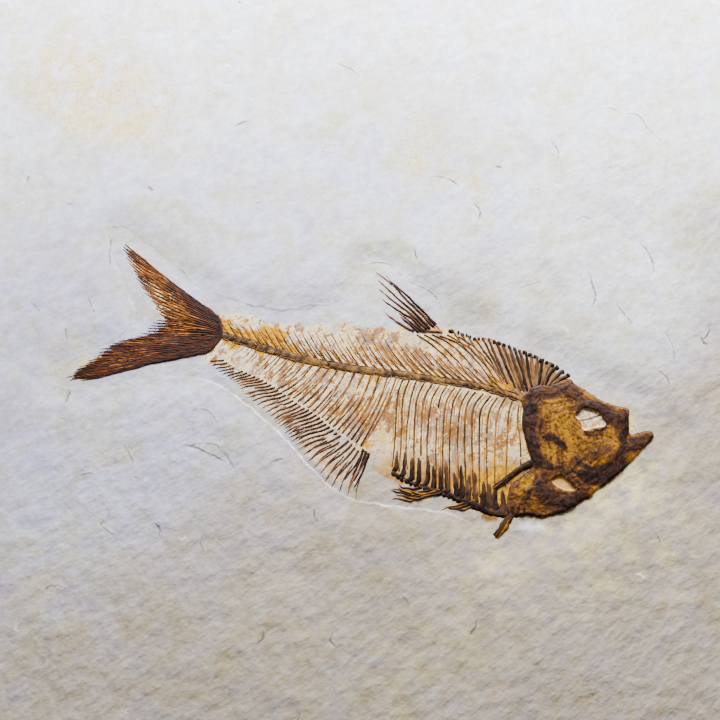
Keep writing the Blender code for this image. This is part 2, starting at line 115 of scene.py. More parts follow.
# Yellow stains on the face and rusty ones on the body: where each is, how far it reaches, and how
# strong it is.
YELLOW = (
    (-74, 65, 14, 0.75), (-58, 60, 12, 0.65), (-85, 74, 13, 0.6), (19, 61, 12, 0.4), (15, 46, 8, 0.5),
    (29, 40, 9, 0.4), (-3, 67, 9, 0.25), (76, -60, 14, 0.3), (57, -62, 12, 0.3), (33, -69, 16, 0.25),
    (-76, -9, 9, 0.4), (-62, -34, 9, 0.3), (79, 55, 10, 0.3), (14, -90, 18, 0.25), (-72, -60, 15, 0.3),
    (72, -40, 12, 0.3), (30, -58, 9, 0.35), (-20, -70, 18, 0.25), (50, -50, 9, 0.3), (66, -42, 8, 0.35),
    (-50, 12, 12, 0.2), (67.5, -26, 2.5, 0.8), (57.5, -17.5, 2.5, 0.7), (61.5, -20, 2.5, 0.7),
    (59, -43.5, 3, 0.8), (63.5, -40, 3, 0.7), (54, -46.5, 2.5, 0.6), (48, -49.5, 2.5, 0.5),
    (18, -46, 2.5, 0.6), (-70, -10, 3, 0.6))
RUST = (
    (-35, 3, 1.3), (-31, 2, 1.5), (-23, 1, 1.8), (-21, 0, 1.5), (-16, -1, 1.3), (-14, -3, 1.3),
    (-9, -3, 1.5), (-4, -2, 1.3), (-25, -11, 2.5), (-19, -14, 2), (-15, -11, 1.5), (-9, -13, 2),
    (-13, -18, 3), (-4, -16, 2), (-3, -22, 4), (-2, -26, 3), (3, -3, 3), (8, -4, 3), (1, -5, 2.5),
    (6, -7, 2.5), (13, -8, 3), (15, -11, 2.5), (24, -11, 3), (26, -8, 1.5), (3, -25, 3.5), (7, -24, 2.5),
    (8, -21, 2), (3, -28, 3), (10, -28, 2), (15, -23, 2), (15, -26, 1.5), (19, -24, 2.5), (22, -23, 2.5),
    (21, -28, 2.5), (18, -28, 2), (24, -27, 2.5), (26, -28, 3), (25, -31, 2.5), (26, -34, 2.5),
    (29, -24, 2), (30, -29, 2), (33, -24, 2), (32, -31, 2), (35, -31, 2.5), (36, -29, 1.5), (18, -36, 2),
    (22, -36, 1.5), (38, -25, 1.5))
# Chalky bruises that the tool left under the jaw.
CHALK = ((38.9, -51.4, 0.8), (40.2, -51.6, 0.9), (41.6, -51.7, 1), (43, -51.6, 0.9), (44.3, -51.4, 0.8))
# Where iron has turned the film gold beside the backbone.
GOLD = (
    (-34.6, -2.6, 2.4), (-31.2, -3.3, 2.2), (-27.7, -4, 2.4), (-23.8, -3.4, 2.4, 1.1),
    (-20.9, -3.4, 1.8, 1), (-32.5, -5.6, 1.5), (-25.2, -6.6, 1.6), (-20.3, -7.2, 1.8), (-16.9, -8, 2, 0.6),
    (-13, -9.6, 2, 0.6), (-8.6, -10.9, 2.2, 0.5), (-35, 0.8, 1.2, 0.6), (-3.3, -11.8, 2.2, 0.4),
    (4, -13.6, 2, 0.35), (37, -17, 2.5, 0.5), (33.5, -15, 2.2, 0.4), (24, -3.6, 1.6, 0.5),
    (30, -6, 1.8, 0.35), (31, -41, 3.5, 0.6), (24, -41.5, 3, 0.35), (36.5, -38, 2.5, 0.5),
    (8, -37, 1.5, 0.3), (2, -31.5, 1.5, 0.4), (38.5, -44.5, 2.5, 0.8), (33.5, -45, 2, 0.6),
    (29, -45.5, 2.2, 0.45), (24.5, -43.5, 2, 0.4), (16, -43.6, 1.6, 0.5), (12.5, -44, 1.6, 0.5),
    (9.5, -43.6, 1.4, 0.4), (24.5, -46.8, 1.4, 0.2))
# Where the stone is cooler and greyer than elsewhere.
COOL = ((-80, 0, 42, 1), (-60, -34, 30, 0.95), (-20, 30, 45, 0.5), (-100, -50, 30, 0.4), (20, 55, 30, 0.3))


def smooth_curve(guide, closed=False):
    """Close points along the smooth curve through the guide points."""
    guide = np.array(guide, float)
    last = len(guide) - 1
    found = []
    for i in range(len(guide) if closed else last):
        near = [k % (last + 1) if closed else min(max(k, 0), last) for k in range(i - 1, i + 3)]
        a, b, c, d = guide[near]
        for t in np.linspace(0, 1, 12, endpoint=False):
            found.append(0.5 * (2 * b + (c - a) * t + (2 * a - 5 * b + 4 * c - d) * t * t
                                + (3 * b - 3 * c + d - a) * t ** 3))
    found.append(guide[0] if closed else guide[-1])
    return np.array(found)


def reach_along(line):
    """How far along the line each of its points lies."""
    return np.concatenate(([0.0], np.cumsum(np.linalg.norm(np.diff(line, axis=0), axis=1))))


def picked(line, at, want):
    """The line's points where the measure at has the wanted values."""
    return np.stack([np.interp(want, at, line[:, k]) for k in (0, 1)], axis=1)


def even(guide, count, closed=False):
    """That many points evenly spaced along the smooth curve; a closed one doesn't repeat its start."""
    fine = smooth_curve(guide, closed)
    reach = reach_along(fine)
    return picked(fine, reach, np.linspace(0, reach[-1], count, endpoint=not closed))


def even_values(guide, values, count):
    """Values given at a closed curve's guide points, at the points that even() makes."""
    fine = smooth_curve(guide, closed=True)
    reach = reach_along(fine)
    at = np.interp(np.linspace(0, reach[-1], count, endpoint=False), reach, np.arange(len(fine)) / 12)
    return np.interp(at, np.arange(len(values) + 1), tuple(values) + values[:1])


def distance_to(points, line, closed=False):
    """How far each point is from a line and its share along it: less than 0 inside or on the right."""
    if closed:
        line = np.vstack([line, line[:1]])
    start, run = line[:-1], np.diff(line, axis=0)
    squared = (run ** 2).sum(1)
    away, along = np.empty(len(points)), np.empty(len(points))
    for low in range(0, len(points), 3000):
        part = points[low:low + 3000, None, :] - start
        share = np.clip((part * run).sum(2) / squared, 0, 1)
        gap = part - share[:, :, None] * run
        length = np.linalg.norm(gap, axis=2)
        nearest = length.argmin(1)
        row = np.arange(len(nearest))
        if closed:
            x, y = (points[low:low + 3000, k, None] for k in (0, 1))
            spans = (start[:, 1] > y) != (line[1:, 1] > y)
            rise = np.where(run[:, 1] == 0, 1e-9, run[:, 1])
            crossed = spans & (x < start[:, 0] + (y - start[:, 1]) / rise * run[:, 0])
            side = 1 - 2 * (crossed.sum(1) % 2)
        else:
            at = part[row, nearest]
            side = np.where(run[nearest, 0] * at[:, 1] - run[nearest, 1] * at[:, 0] < 0, -1, 1)
        away[low:low + 3000] = side * length[row, nearest]
        along[low:low + 3000] = (nearest + share[row, nearest]) / len(run)
    return away, along


def depth_in(points, outline, reach=8.0):
    """How deep inside a closed outline each point lies; well outside it the answer is -9."""
    depth = np.full(len(points), -9.0)
    near = ((points > outline.min(0) - reach) & (points < outline.max(0) + reach)).all(1)
    depth[near] = -distance_to(points[near], outline, closed=True)[0]
    return depth


def rough(points, scale, layer):
    """Smooth noise from about -1 to 1, with bumps 1 / scale millimetres across."""
    return np.array([noise.noise((x * scale, y * scale, layer)) for x, y in points])


def spots(points, places):
    """Soft round spots added together; one that gives no strength has 0.8."""
    total = np.zeros(len(points))
    for x, y, reach, *rest in places:
        strength = rest[0] if rest else 0.8
        total += strength * np.exp(-((points[:, 0] - x) ** 2 + (points[:, 1] - y) ** 2) / reach ** 2)
    return total


def ramp(values, low, high):
    """0 below low, 1 above high, and smooth between."""
    t = np.clip((values - low) / (high - low), 0, 1)
    return t * t * (3 - 2 * t)


def chipped_edge(seed, shares):
    """How far in from the full size a broken edge stands, at each share of its length."""
    depths = []
    for t in shares:
        wander = noise.noise((t * 5.0, seed, 0.5)) + 0.5 * noise.noise((t * 17.0, seed, 4.5))
        wander += 0.18 * noise.noise((t * 61.0, seed, 8.5))
        corner = max(0.0, 1 - min(t, 1 - t) / 0.06) ** 2
        depths.append(EDGE_CHIP * (wander + 1.6 * corner))
    return np.array(depths) - min(depths)


def pocket_floor(points):
    """The height of the bed that the fish lies on."""
    return FLOOR + 0.09 * rough(points, 0.16, 2.7) + 0.05 * rough(points, 0.5, 6.1)


def face_height(points):
    """The slab's split upper face, which swells gently and is rougher towards one side."""
    x, y = points[:, 0], points[:, 1]
    swell = rough(points, 0.021, 3.7) + 0.45 * rough(points, 0.07, 9.1)
    coarse = 0.45 + 0.55 * ramp(-y, -45, 50)
    flaky = 0.16 * rough(points, 0.15, 1.9) + 0.11 * rough(points, 0.37, 5.3)
    return SLAB_THICKNESS + FACE_SWELL * (swell - 0.55) + 0.6 * coarse * flaky


def outline_points(inset, count=190):
    """Points round the slab's broken edge, each that far in from it; the count is for one side."""
    side = np.linspace(0, 1, count)
    left, low = -SLAB_LENGTH / 2 + chipped_edge(1.3, side), -SLAB_WIDTH / 2 + chipped_edge(13.1, side)
    right, high = SLAB_LENGTH / 2 - chipped_edge(7.9, side), SLAB_WIDTH / 2 - chipped_edge(21.7, side)
    found = np.vstack([
        np.column_stack([left[0] + (right[0] - left[0]) * side, low])[:-1],
        np.column_stack([right, low[-1] + (high[-1] - low[-1]) * side])[:-1],
        np.column_stack([left[-1] + (right[-1] - left[-1]) * side, high])[:0:-1],
        np.column_stack([left, low[0] + (high[0] - low[0]) * side])[:0:-1],
    ])
    return found - np.sign(found) * np.minimum(1, ramp(np.abs(found), 0, 60)) * inset


def fill_outline(ring, inner):
    """Points and triangles that fill the ring, using the inner points as well."""
    points = [Vector(p) for p in ring] + [Vector(p) for p in inner]
    edges = [(i, (i + 1) % len(ring)) for i in range(len(ring))]
    made = geometry.delaunay_2d_cdt(points, edges, [], 1, 1e-5)
    return np.array([tuple(p) for p in made[0]]), [tuple(face) for face in made[2]]


def wall(above, below, count):
    """Faces that join two rings of that many points, from the first point of each."""
    return [(above + k, below + k, below + (k + 1) % count, above + (k + 1) % count) for k in range(count)]


def underside(ring, first):
    """Faces that close a ring from below, from the number of its first point."""
    return [tuple(first + i for i in face[::-1]) for face in fill_outline(ring, np.empty((0, 2)))[1]]


def scattered(low, high, step, wander, seed):
    """Points on a grid over the box from low to high, each moved a little at random."""
    x, y = np.meshgrid(np.arange(low[0], high[0], step), np.arange(low[1], high[1], step))
    points = np.stack([x.ravel(), y.ravel()], axis=1)
    return points + np.random.default_rng(seed).uniform(-wander, wander, points.shape) * step


def mesh_object(name, places, faces, marks, smooth=True):
    """An object of the mesh, from millimetres, with each named mark as a value at every point."""
    mesh = bpy.data.meshes.new(name)
    mesh.from_pydata((np.array(places) * MM).tolist(), [], faces)
    mesh.polygons.foreach_set("use_smooth", np.full(len(mesh.polygons), smooth))
    for mark, values in marks.items():
        values = np.asarray(values, np.float32)
        kind, field = ("FLOAT_VECTOR", "vector") if values.ndim == 2 else ("FLOAT", "value")
        layer = mesh.attributes.new(mark, kind, "POINT")
        layer.data.foreach_set(field, values.ravel())
    mesh.update()
    made = bpy.data.objects.new(name, mesh)
    bpy.context.scene.collection.objects.link(made)
    return made


pocket = even(POCKET, 420, closed=True)
body_line = even(BODY, 220, closed=True)
flake_lines = [even(guide, 14) for guide in FLAKES]
chance = np.random.default_rng(40)
while len(flake_lines) < FLAKE_COUNT:
    at = chance.uniform((-104, -96), (104, 96))
    turn = chance.uniform(0, 2 * math.pi)
    reach = chance.uniform(0.6, 2.4)
    along = np.array((math.cos(turn), math.sin(turn)))
    aside = np.array((-along[1], along[0])) * chance.uniform(-0.6, 0.6)
    if distance_to(at[None], pocket, closed=True)[0][0] > FLAKE_CLEAR:
        flake_lines.append(even((at - along * reach, at + aside * reach, at + along * reach), 14))
corner = np.array((-SLAB_LENGTH / 2, -SLAB_WIDTH / 2))


def feature_distance(points):
    """How far each point is from the pocket's wall or from a flake's edge."""
    found = np.abs(distance_to(points, pocket, closed=True)[0] - 0.5)
    for line in flake_lines:
        close = (np.abs(points - line.mean(0)) < 9).all(1)
        if close.any():
            found[close] = np.minimum(found[close], 0.3 + np.abs(distance_to(points[close], line)[0]))
    return found


# Points lie closer together near the pocket's wall and the flakes: each spacing is used between
# two distances from them.
cell = 2.5
cells = scattered(corner, -corner + cell, cell, 0.0, 1)
across = len(np.arange(corner[0], -corner[0] + cell, cell))
cell_distance = feature_distance(cells)
gathered = []
for step, nearer, farther, seed in ((1.0, 2.3, 1e9, 3), (0.55, 1.1, 2.3, 4), (0.28, 0.0, 1.1, 5)):
    points = scattered(corner, -corner, step, 0.22, seed)
    index = np.rint((points - corner) / cell).astype(int)
    points = points[cell_distance[index[:, 1] * across + index[:, 0]] < farther + 2.0]
    near = feature_distance(points)
    gathered.append(points[(near >= nearer) & (near < farther)])
inner = np.vstack(gathered)
ring = outline_points(TOP_INSET)
near_edge = (np.abs(inner) > (SLAB_LENGTH / 2 - 11, SLAB_WIDTH / 2 - 11)).any(1)
beyond = np.zeros(len(inner), bool)
beyond[near_edge] = distance_to(inner[near_edge], ring, closed=True)[0] > -0.45
inner = inner[~beyond]
top, top_faces = fill_outline(ring, inner)

# The stone slopes down to the pocket over several millimetres, with a small crisp lip in places.
wall_distance, wall_share = distance_to(top, pocket, closed=True)
near_wall = np.abs(wall_distance) < 6
ragged = np.zeros(len(top))
ragged[near_wall] = (0.35 * rough(top[near_wall], 0.45, 3.3) + 0.14 * rough(top[near_wall], 1.3, 8.2)
                     + 0.04 * rough(top[near_wall], 3.1, 5.2))
wall_distance = wall_distance + ragged
crisp = np.interp(wall_share * len(pocket), np.arange(len(pocket)), even_values(POCKET, LIP, len(pocket)))
crisp = np.clip(crisp * (1 + 0.8 * rough(top, 0.3, 15.2)), 0, 1.2)
bed, face = pocket_floor(top), face_height(top)
lip = LIP_RISE * crisp
height = bed + lip * ramp(wall_distance, 0, 0.3) + (face - bed - lip) * ramp(wall_distance, -0.6, SLOPE)

# Thin flakes have sprung off the face: each leaves a tiny step along a curved edge.
flake_edge, pale_edge = np.full(len(top), 9.0), np.full(len(top), 9.0)
for number, line in enumerate(flake_lines):
    close = np.flatnonzero((np.abs(top - line.mean(0)) < 12).all(1))
    away, along = distance_to(top[close], line)
    away = away + 0.25 * rough(top[close], 0.9, 4.4)
    whole = np.clip(np.sin(math.pi * along), 0, 1) ** 0.3
    step = np.where(away > 0, np.exp(-away / 2.2), 0) * ramp(np.abs(away), 0.0, 0.25)
    height[close] -= FLAKE_STEP * whole * step
    reached = np.abs(away) + 0.3 * (1 - whole) + 0.12 * rough(top[close], 0.6, 9.4)
    edge = pale_edge if number > DARK_FLAKES and number % 2 else flake_edge
    edge[close] = np.minimum(edge[close], reached)

# Rings down the broken sides, where thin beds of the stone stand in and out, and the sawn back.
places, faces = [np.column_stack([top, height])], list(top_faces)
above, count = 0, len(ring)


def edge_noise(step, seed, layer):
    """Noise round the slab's edge, one value for each of its points."""
    return np.array([noise.noise((k * step, seed, layer)) for k in range(count)])


for layer, (level, inset) in enumerate(LEDGES[1:]):
    wander = edge_noise(0.11, 0.7 * (layer // 2), 2.3) + 0.5 * edge_noise(0.43, 1.9 * layer, 7.3)
    wander += 0.7 * np.abs(edge_noise(0.97, 0.9 * layer, 5.3))
    broken = outline_points((inset + (0.35 + 0.5 * wander) * min(1.0, inset))[:, None])
    tilt = 0.25 * edge_noise(0.05, layer * 0.37, 1.3)
    below = sum(len(part) for part in places)
    places.append(np.column_stack([broken, np.clip(level + tilt * (level > 0), 0, None)]))
    faces += wall(above, below, count)
    above = below
faces += underside(broken, above)
places = np.vstack(places)
under = len(places) - len(top)


def with_sides(values, rest):
    """The values of the face's points, and one value for all the points below them."""
    return np.concatenate([values, np.full(under, rest)])


anal_depth = depth_in(top, even(ANAL_STAIN, 80, closed=True))
dorsal_depth = depth_in(top, even(DORSAL_STAIN, 60, closed=True))
slab = mesh_object("limestone_slab_rock", places, faces, {
    # The lip mark carries the white along the lip, partly chalk and partly painted highlight.
    "lip": with_sides(crisp * (1 - ramp(np.abs(wall_distance - 0.1), 0.0, 0.24)) + spots(top, CHALK)
                      + 0.7 * (1 - ramp(pale_edge, 0.06, 0.34)), 0.0),
    "body": with_sides(depth_in(top, body_line), -9.0),
    "gold": with_sides(spots(top, GOLD), 0.0),
    "tail": with_sides(depth_in(top, even(TAIL_STAIN, 120, closed=True)), -9.0),
    "fins": with_sides(np.maximum(anal_depth, dorsal_depth), -9.0),
    "flake": with_sides(flake_edge, 9.0),
    "yellow": with_sides(spots(top, YELLOW), 0.0),
    "rust": with_sides(spots(top, RUST), 0.0),
    "cool": with_sides(spots(top, COOL), 0.0),
    "broken_side": np.concatenate([np.zeros(len(top)), np.ones(under)]),
})


class Mixer:
    """Lays out the nodes of one shader tree: each answer is the socket that carries it."""

    def __init__(self, tree):
        self.tree = tree

    def feed(self, value, socket):
        """Joins another node to the socket, or sets a value or a colour on it."""
        if isinstance(value, bpy.types.NodeSocket):
            self.tree.links.new(value, socket)
        else:
            socket.default_value = (*value, 1) if socket.type == "RGBA" else value

    def add(self, kind, inputs=None, **settings):
        """A node with those settings and inputs."""
        made = self.tree.nodes.new(kind)
        for name, value in settings.items():
            setattr(made, name, value)
        for name, value in (inputs or {}).items():
            self.feed(value, made.inputs[name])
        return made

    def maths(self, operation, first, second):
        """The result of one sum."""
        return self.add("ShaderNodeMath", {0: first, 1: second}, operation=operation).outputs[0]

    def times(self, first, second):
        """The first value multiplied by the second."""
        return self.maths("MULTIPLY", first, second)

    def plus(self, first, second):
        """Both values added together."""
        return self.maths("ADD", first, second)

    def ranged(self, value, low, high, start=0.0, end=1.0):
        """The value carried smoothly from the first range to the second."""
        return self.add("ShaderNodeMapRange", {"Value": value, "From Min": low, "From Max": high,
                        "To Min": start, "To Max": end}, interpolation_type="SMOOTHSTEP").outputs["Result"]

    def swing(self, value, size):
        """Noise as a value that swings between -size and size."""
        return self.ranged(value, 0.3, 0.7, -size, size)

    def over(self, share, under, upper, how="MIX"):
        """One colour laid over another by a share."""
        return self.add("ShaderNodeMix", {0: share, 6: under, 7: upper},
                        data_type="RGBA", blend_type=how).outputs[2]

    def clouds(self, place, scale, detail=3.0, roughness=0.55, warp=0.0):
        """Fractal noise; its scale is in bumps to the metre."""
        return self.add("ShaderNodeTexNoise", {"Vector": place, "Scale": scale, "Detail": detail,
                        "Roughness": roughness, "Distortion": warp}, normalize=True).outputs["Fac"]

    def mark(self, name, output="Fac"):
        """A value that the mesh carries at its points."""
        return self.add("ShaderNodeAttribute", attribute_name=name).outputs[output]

    def dress(self, shader, colour, roughness, height):
        """Feeds a shader its colour, its roughness and its fine bumps."""
        bump = self.add("ShaderNodeBump", {"Height": height, "Distance": MM, "Strength": 1.0})
        self.feed(colour, shader.inputs["Base Color"])
        self.feed(roughness, shader.inputs["Roughness"])
        self.feed(bump.outputs["Normal"], shader.inputs["Normal"])


def new_group(name, inputs, outputs):
    """A shader node group with those sockets: its mixer, what it is given, and what it answers."""
    tree = bpy.data.node_groups.new(name, "ShaderNodeTree")
    for sockets, way in ((inputs, "INPUT"), (outputs, "OUTPUT")):
        for socket, kind in sockets.items():
            tree.interface.new_socket(socket, in_out=way, socket_type="NodeSocket" + kind)
    given = tree.nodes.new("NodeGroupInput").outputs
    return Mixer(tree), given, tree.nodes.new("NodeGroupOutput").inputs


def new_material(name, roughness, specular):
    """A material, its mixer, its Principled shader, and the place that its patterns are laid out in."""
    material = bpy.data.materials.new(name)
    material.use_nodes = True
    mix = Mixer(material.node_tree)
    shader = material.node_tree.nodes["Principled BSDF"]
    for socket, value in (("Metallic", 0.0), ("Roughness", roughness), ("Specular IOR Level", specular)):
        shader.inputs[socket].default_value = value
    return material, mix, shader, mix.add("ShaderNodeTexCoord").outputs["Object"]


# Fine lake limestone: soft clouds of tint, a mottle of small flaky dimples, and a powdery grain.
mix, given, answer = new_group(
    "rock_grain", {"Place": "Vector", "Coarseness": "Float", "Warmth and painted shade": "Float", "Coolness": "Float"},
    {"Colour": "Color", "Mottle": "Float", "Height": "Float"})
rock_grain = mix.tree
cloud = mix.clouds(given["Place"], 70.0, 4.0, 0.6, 0.4)
tint = mix.clouds(given["Place"], 150.0, 4.0, 0.6, 0.4)
lie = mix.add("ShaderNodeMapping", {"Vector": given["Place"], "Rotation": (0.0, 0.0, 0.7),
              "Scale": (1.45, 1.0, 1.0)}, vector_type="TEXTURE").outputs[0]
dimple = mix.clouds(lie, 330.0, 3.0, 0.5)
flaky = mix.clouds(lie, 1000.0, 3.0, 0.55)
powder = mix.clouds(given["Place"], 4200.0, 2.0, 0.5)
# Towards the slab's lower side the stone is painted darker and warmer: partly a warmer tint of its own,
# partly painted shade where the key light falls off.
colour = mix.over(given["Warmth and painted shade"], (0.72, 0.73, 0.79), (0.388, 0.332, 0.28))
colour = mix.over(given["Coolness"], colour, (0.47, 0.465, 0.57))
for cover, wash in ((mix.ranged(cloud, 0.44, 0.62, 0.0, 0.7), (0.90, 0.87, 0.70)),
                    (mix.ranged(tint, 0.5, 0.64, 0.0, 0.95), (0.91, 0.89, 0.74)),
                    (mix.ranged(tint, 0.5, 0.38, 0.0, 0.9), (0.89, 0.88, 0.98))):
    colour = mix.over(cover, colour, wash, "MULTIPLY")
# The colour is lightened and darkened with the same noise that raises the dimples and flakes: painted shading
# of that relief.
shade = mix.plus(mix.ranged(dimple, 0.3, 0.7, 0.97, 1.09), mix.swing(flaky, 0.08))
shaded = mix.add("ShaderNodeVectorMath", {0: colour, "Scale": shade}, operation="SCALE").outputs[0]
relief = mix.times(mix.plus(dimple, mix.times(flaky, 0.16)), given["Coarseness"])
relief = mix.plus(relief, mix.times(powder, 0.012))
for socket, value in (("Colour", shaded), ("Mottle", dimple), ("Height", relief)):
    mix.feed(value, answer[socket])

stone, mix, shader, place = new_material("limestone_face", 0.9, 0.15)
east, north = mix.add("ShaderNodeSeparateXYZ", {"Vector": place}).outputs[:2]
slant = mix.maths("SUBTRACT", north, mix.times(east, 0.25))
# How far up the face a point lies, on a slant: lower down the stone is coarser, and darker by painted shade.
up_the_face = mix.plus(slant, mix.swing(mix.clouds(place, 22.0), 0.02))
grain = mix.add("ShaderNodeGroup", {
    "Place": place, "Coarseness": mix.ranged(up_the_face, 0.06, -0.06, 0.2, 0.55),
    "Warmth and painted shade": mix.ranged(up_the_face, 0.032, -0.044), "Coolness": mix.times(mix.mark("cool"), 0.95),
}, node_tree=rock_grain).outputs
speckle = mix.clouds(place, 430.0, 5.0, 0.65)
blotch = mix.clouds(place, 190.0, 4.0, 0.6, 0.3)
fine = mix.clouds(place, 1500.0, 4.0, 0.65)

# Iron stains the face yellow in places: a soft wash, with olive specks in it.
yellow = mix.times(mix.mark("yellow"), mix.ranged(blotch, 0.38, 0.6, 0.2, 1.2))
colour = mix.over(mix.ranged(yellow, 0.0, 0.9, 0.0, 0.8), grain["Colour"], (0.72, 0.61, 0.31))
specks = mix.times(mix.ranged(yellow, 0.1, 0.6, 0.0, 0.6), mix.ranged(fine, 0.53, 0.62))
colour = mix.over(specks, colour, (0.42, 0.29, 0.10))

# The body's film is cream. It is streaked with rust the way that the ribs run, gold beside the
# backbone's tail end, browner low on the belly, and pinker under the bars of the back.
rows = mix.add("ShaderNodeCombineXYZ", {"X": mix.maths("SUBTRACT", east, mix.times(north, 0.3)),
                                        "Y": mix.times(north, 0.3)})
streak = mix.clouds(rows.outputs[0], 620.0, 5.0, 0.65, 0.3)
film = mix.ranged(mix.plus(mix.mark("body"), mix.swing(blotch, 2.0)), -0.6, 1.2)
skin = mix.over(mix.ranged(streak, 0.38, 0.62), (0.69, 0.445, 0.125), (0.85, 0.68, 0.40))
skin = mix.over(mix.ranged(east, 0.004, -0.014, 0.0, 0.6), skin, (0.80, 0.66, 0.43))
skin = mix.over(mix.ranged(north, -0.031, -0.040, 0.0, 0.9), skin, (0.34, 0.15, 0.016))
high = mix.times(mix.ranged(east, 0.026, 0.034, 0.0, 0.7), mix.ranged(north, -0.019, -0.016))
skin = mix.over(high, skin, (0.56, 0.28, 0.12))
drift = mix.plus(streak, mix.times(mix.mark("rust"), 0.17))
drift = mix.plus(mix.plus(drift, mix.swing(fine, 0.13)), mix.ranged(speckle, 0.35, 0.65, -0.10, 0.10))
rusty = mix.over(mix.ranged(fine, 0.40, 0.6), (0.12, 0.034, 0.002), (0.33, 0.118, 0.004))
skin = mix.over(mix.ranged(drift, 0.56, 0.62, 0.0, 0.95), skin, rusty)
worn = mix.ranged(blotch, 0.42, 0.58, 0.7, 0.97)
colour = mix.over(mix.times(film, worn), colour, skin)

# Brown tissue fills the nape and the lowest part of the belly, and gold lies over the film.
under_belly = mix.times(mix.ranged(east, 0.014, 0.024),
                        mix.ranged(mix.plus(slant, mix.swing(speckle, 0.0015)), -0.0455, -0.0495))
nape = mix.times(mix.ranged(east, 0.032, 0.038), mix.ranged(north, -0.0225, -0.0195))
tissue = mix.times(mix.times(film, 0.85), mix.maths("MAXIMUM", under_belly, nape))
brown = mix.over(mix.ranged(fine, 0.4, 0.6), (0.07, 0.026, 0.006), (0.24, 0.11, 0.030))
colour = mix.over(tissue, colour, brown)
gold = mix.plus(mix.mark("gold"), mix.swing(speckle, 0.25))
golden = mix.over(mix.ranged(fine, 0.38, 0.6), (0.36, 0.13, 0.001), (0.64, 0.34, 0.0008))
colour = mix.over(mix.ranged(gold, 0.1, 0.55), colour, golden)

# The fins' film is amber under the tail's rays, with cream gaps, and peach under the other fins'.
ragged_edge = mix.swing(fine, 0.6)
pale = mix.over(mix.ranged(north, -0.002, 0.004), (0.26, 0.085, 0.010), (0.82, 0.60, 0.32))
amber = mix.over(mix.ranged(fine, 0.40, 0.5), (0.13, 0.038, 0.004), pale)
tail_film = mix.plus(mix.mark("tail"), ragged_edge)
colour = mix.over(mix.ranged(tail_film, -0.3, 0.5, 0.0, 0.95), colour, amber)
peach = mix.over(mix.ranged(fine, 0.42, 0.6), (0.58, 0.33, 0.13), (0.82, 0.64, 0.42))
fin_film = mix.plus(mix.mark("fins"), ragged_edge)
colour = mix.over(mix.ranged(fin_film, -0.5, 1.2, 0.0, 0.6), colour, peach)

# Dark hairlines along the edges of sprung flakes, painted as the shadows of their tiny steps; white along the
# pocket's lip, partly chalky scratches and partly a painted highlight; and stray specks.
# Painted shadow along each flake's step.
flake_shadow = mix.times(mix.ranged(mix.mark("flake"), 0.08, 0.38, 0.95, 0.0),
                 mix.ranged(speckle, 0.34, 0.5, 0.4, 1.0))
colour = mix.over(flake_shadow, colour, (0.17, 0.15, 0.135))
# The white marks the lip, the tool's bruises under the jaw and some flake edges; along the lip it is partly
# chalky scratches and partly a painted highlight where the bevel faces the light.
chalk_and_highlight = mix.times(mix.mark("lip"), mix.ranged(speckle, 0.35, 0.6, 0.4, 1.0))
colour = mix.over(mix.times(chalk_and_highlight, 0.9), colour, (0.93, 0.93, 0.95))
dots = mix.add("ShaderNodeTexVoronoi", {"Vector": place, "Scale": 62.0}).outputs
chosen = mix.add("ShaderNodeSeparateColor", {"Color": dots["Color"]}).outputs["Red"]
dot = mix.times(mix.ranged(dots["Distance"], 0.012, 0.024, 0.9, 0.0), mix.ranged(chosen, 0.6, 0.62))
colour = mix.over(dot, colour, (0.06, 0.04, 0.03))

# Broken sides show the beds as thin tan and grey stripes.
beds = mix.add("ShaderNodeVectorMath", {0: place, 1: (14.0, 14.0, 620.0)}, operation="MULTIPLY").outputs[0]
stripes = mix.over(mix.ranged(mix.clouds(beds, 1.0, 4.0, 0.6), 0.38, 0.62),
                   (0.50, 0.41, 0.30), (0.72, 0.67, 0.58))
stripes = mix.over(mix.ranged(speckle, 0.35, 0.65, 0.0, 0.4), stripes, (0.62, 0.60, 0.57))
colour = mix.over(mix.mark("broken_side"), colour, stripes)
mix.dress(shader, colour, mix.ranged(grain["Mottle"], 0.3, 0.7, 0.95, 0.78), grain["Height"])
slab.data.materials.append(stone)
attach(slab, "root")
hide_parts("limestone_slab")


# Backbone.
# A chain of some forty hourglass vertebrae with a thin spine above and below each and the long
# ribs round the belly, turned to brown mineral and crushed flat into the bed of the stone.

VERTEBRAE = 44
NEURAL = (
    ((-34.5, -3.4), (-19.9, -8), (-5.3, -11.4), (9.3, -13.4), (23.9, -15.9), (38.5, -19.3)),
    ((-38, 1.4), (-24.4, -0.8), (-11.2, -2), (2.6, -3.2), (15, -6.6), (31.5, -12.9)))
HAEMAL = (
    ((-34, -3.6), (-25.3, -6.4), (-16.6, -9), (-8, -11), (0.7, -12.3), (9.4, -13.4)),
    ((-36.9, -7.3), (-29.3, -11.5), (-22.3, -15.4), (-15.5, -19.8), (-6.3, -25.6), (0.2, -32)))
RIBS = (
    ((10.7, -14.7), (14.5, -15.3), (19.3, -16.2), (24, -17), (28.8, -18.1), (33.6, -19.1), (37.4, -19.9),
     (40, -21.2)),
    ((9.4, -19.2), (12.6, -20.2), (17.2, -20.7), (21.9, -21.2), (26.5, -22.1), (31.1, -23.3),
     (35.5, -24.1), (39.6, -25)),
    ((8.5, -30.8), (11.6, -30.8), (16.2, -31.1), (20.8, -31.3), (25.7, -31.3), (30.3, -31.3),
     (34.7, -31.3), (39.9, -31.3)),
    ((7.8, -37), (11.7, -39.5), (16.2, -41), (20.6, -42.6), (25.7, -43.8), (30.1, -44.6), (34.1, -43.5),
     (39.7, -37.4)))
RIB_COUNT = 17
THIN_STRANDS = 120
NEURAL_SPINES = 36
HAEMAL_SPINES = 22
FIN_BEARERS = 19
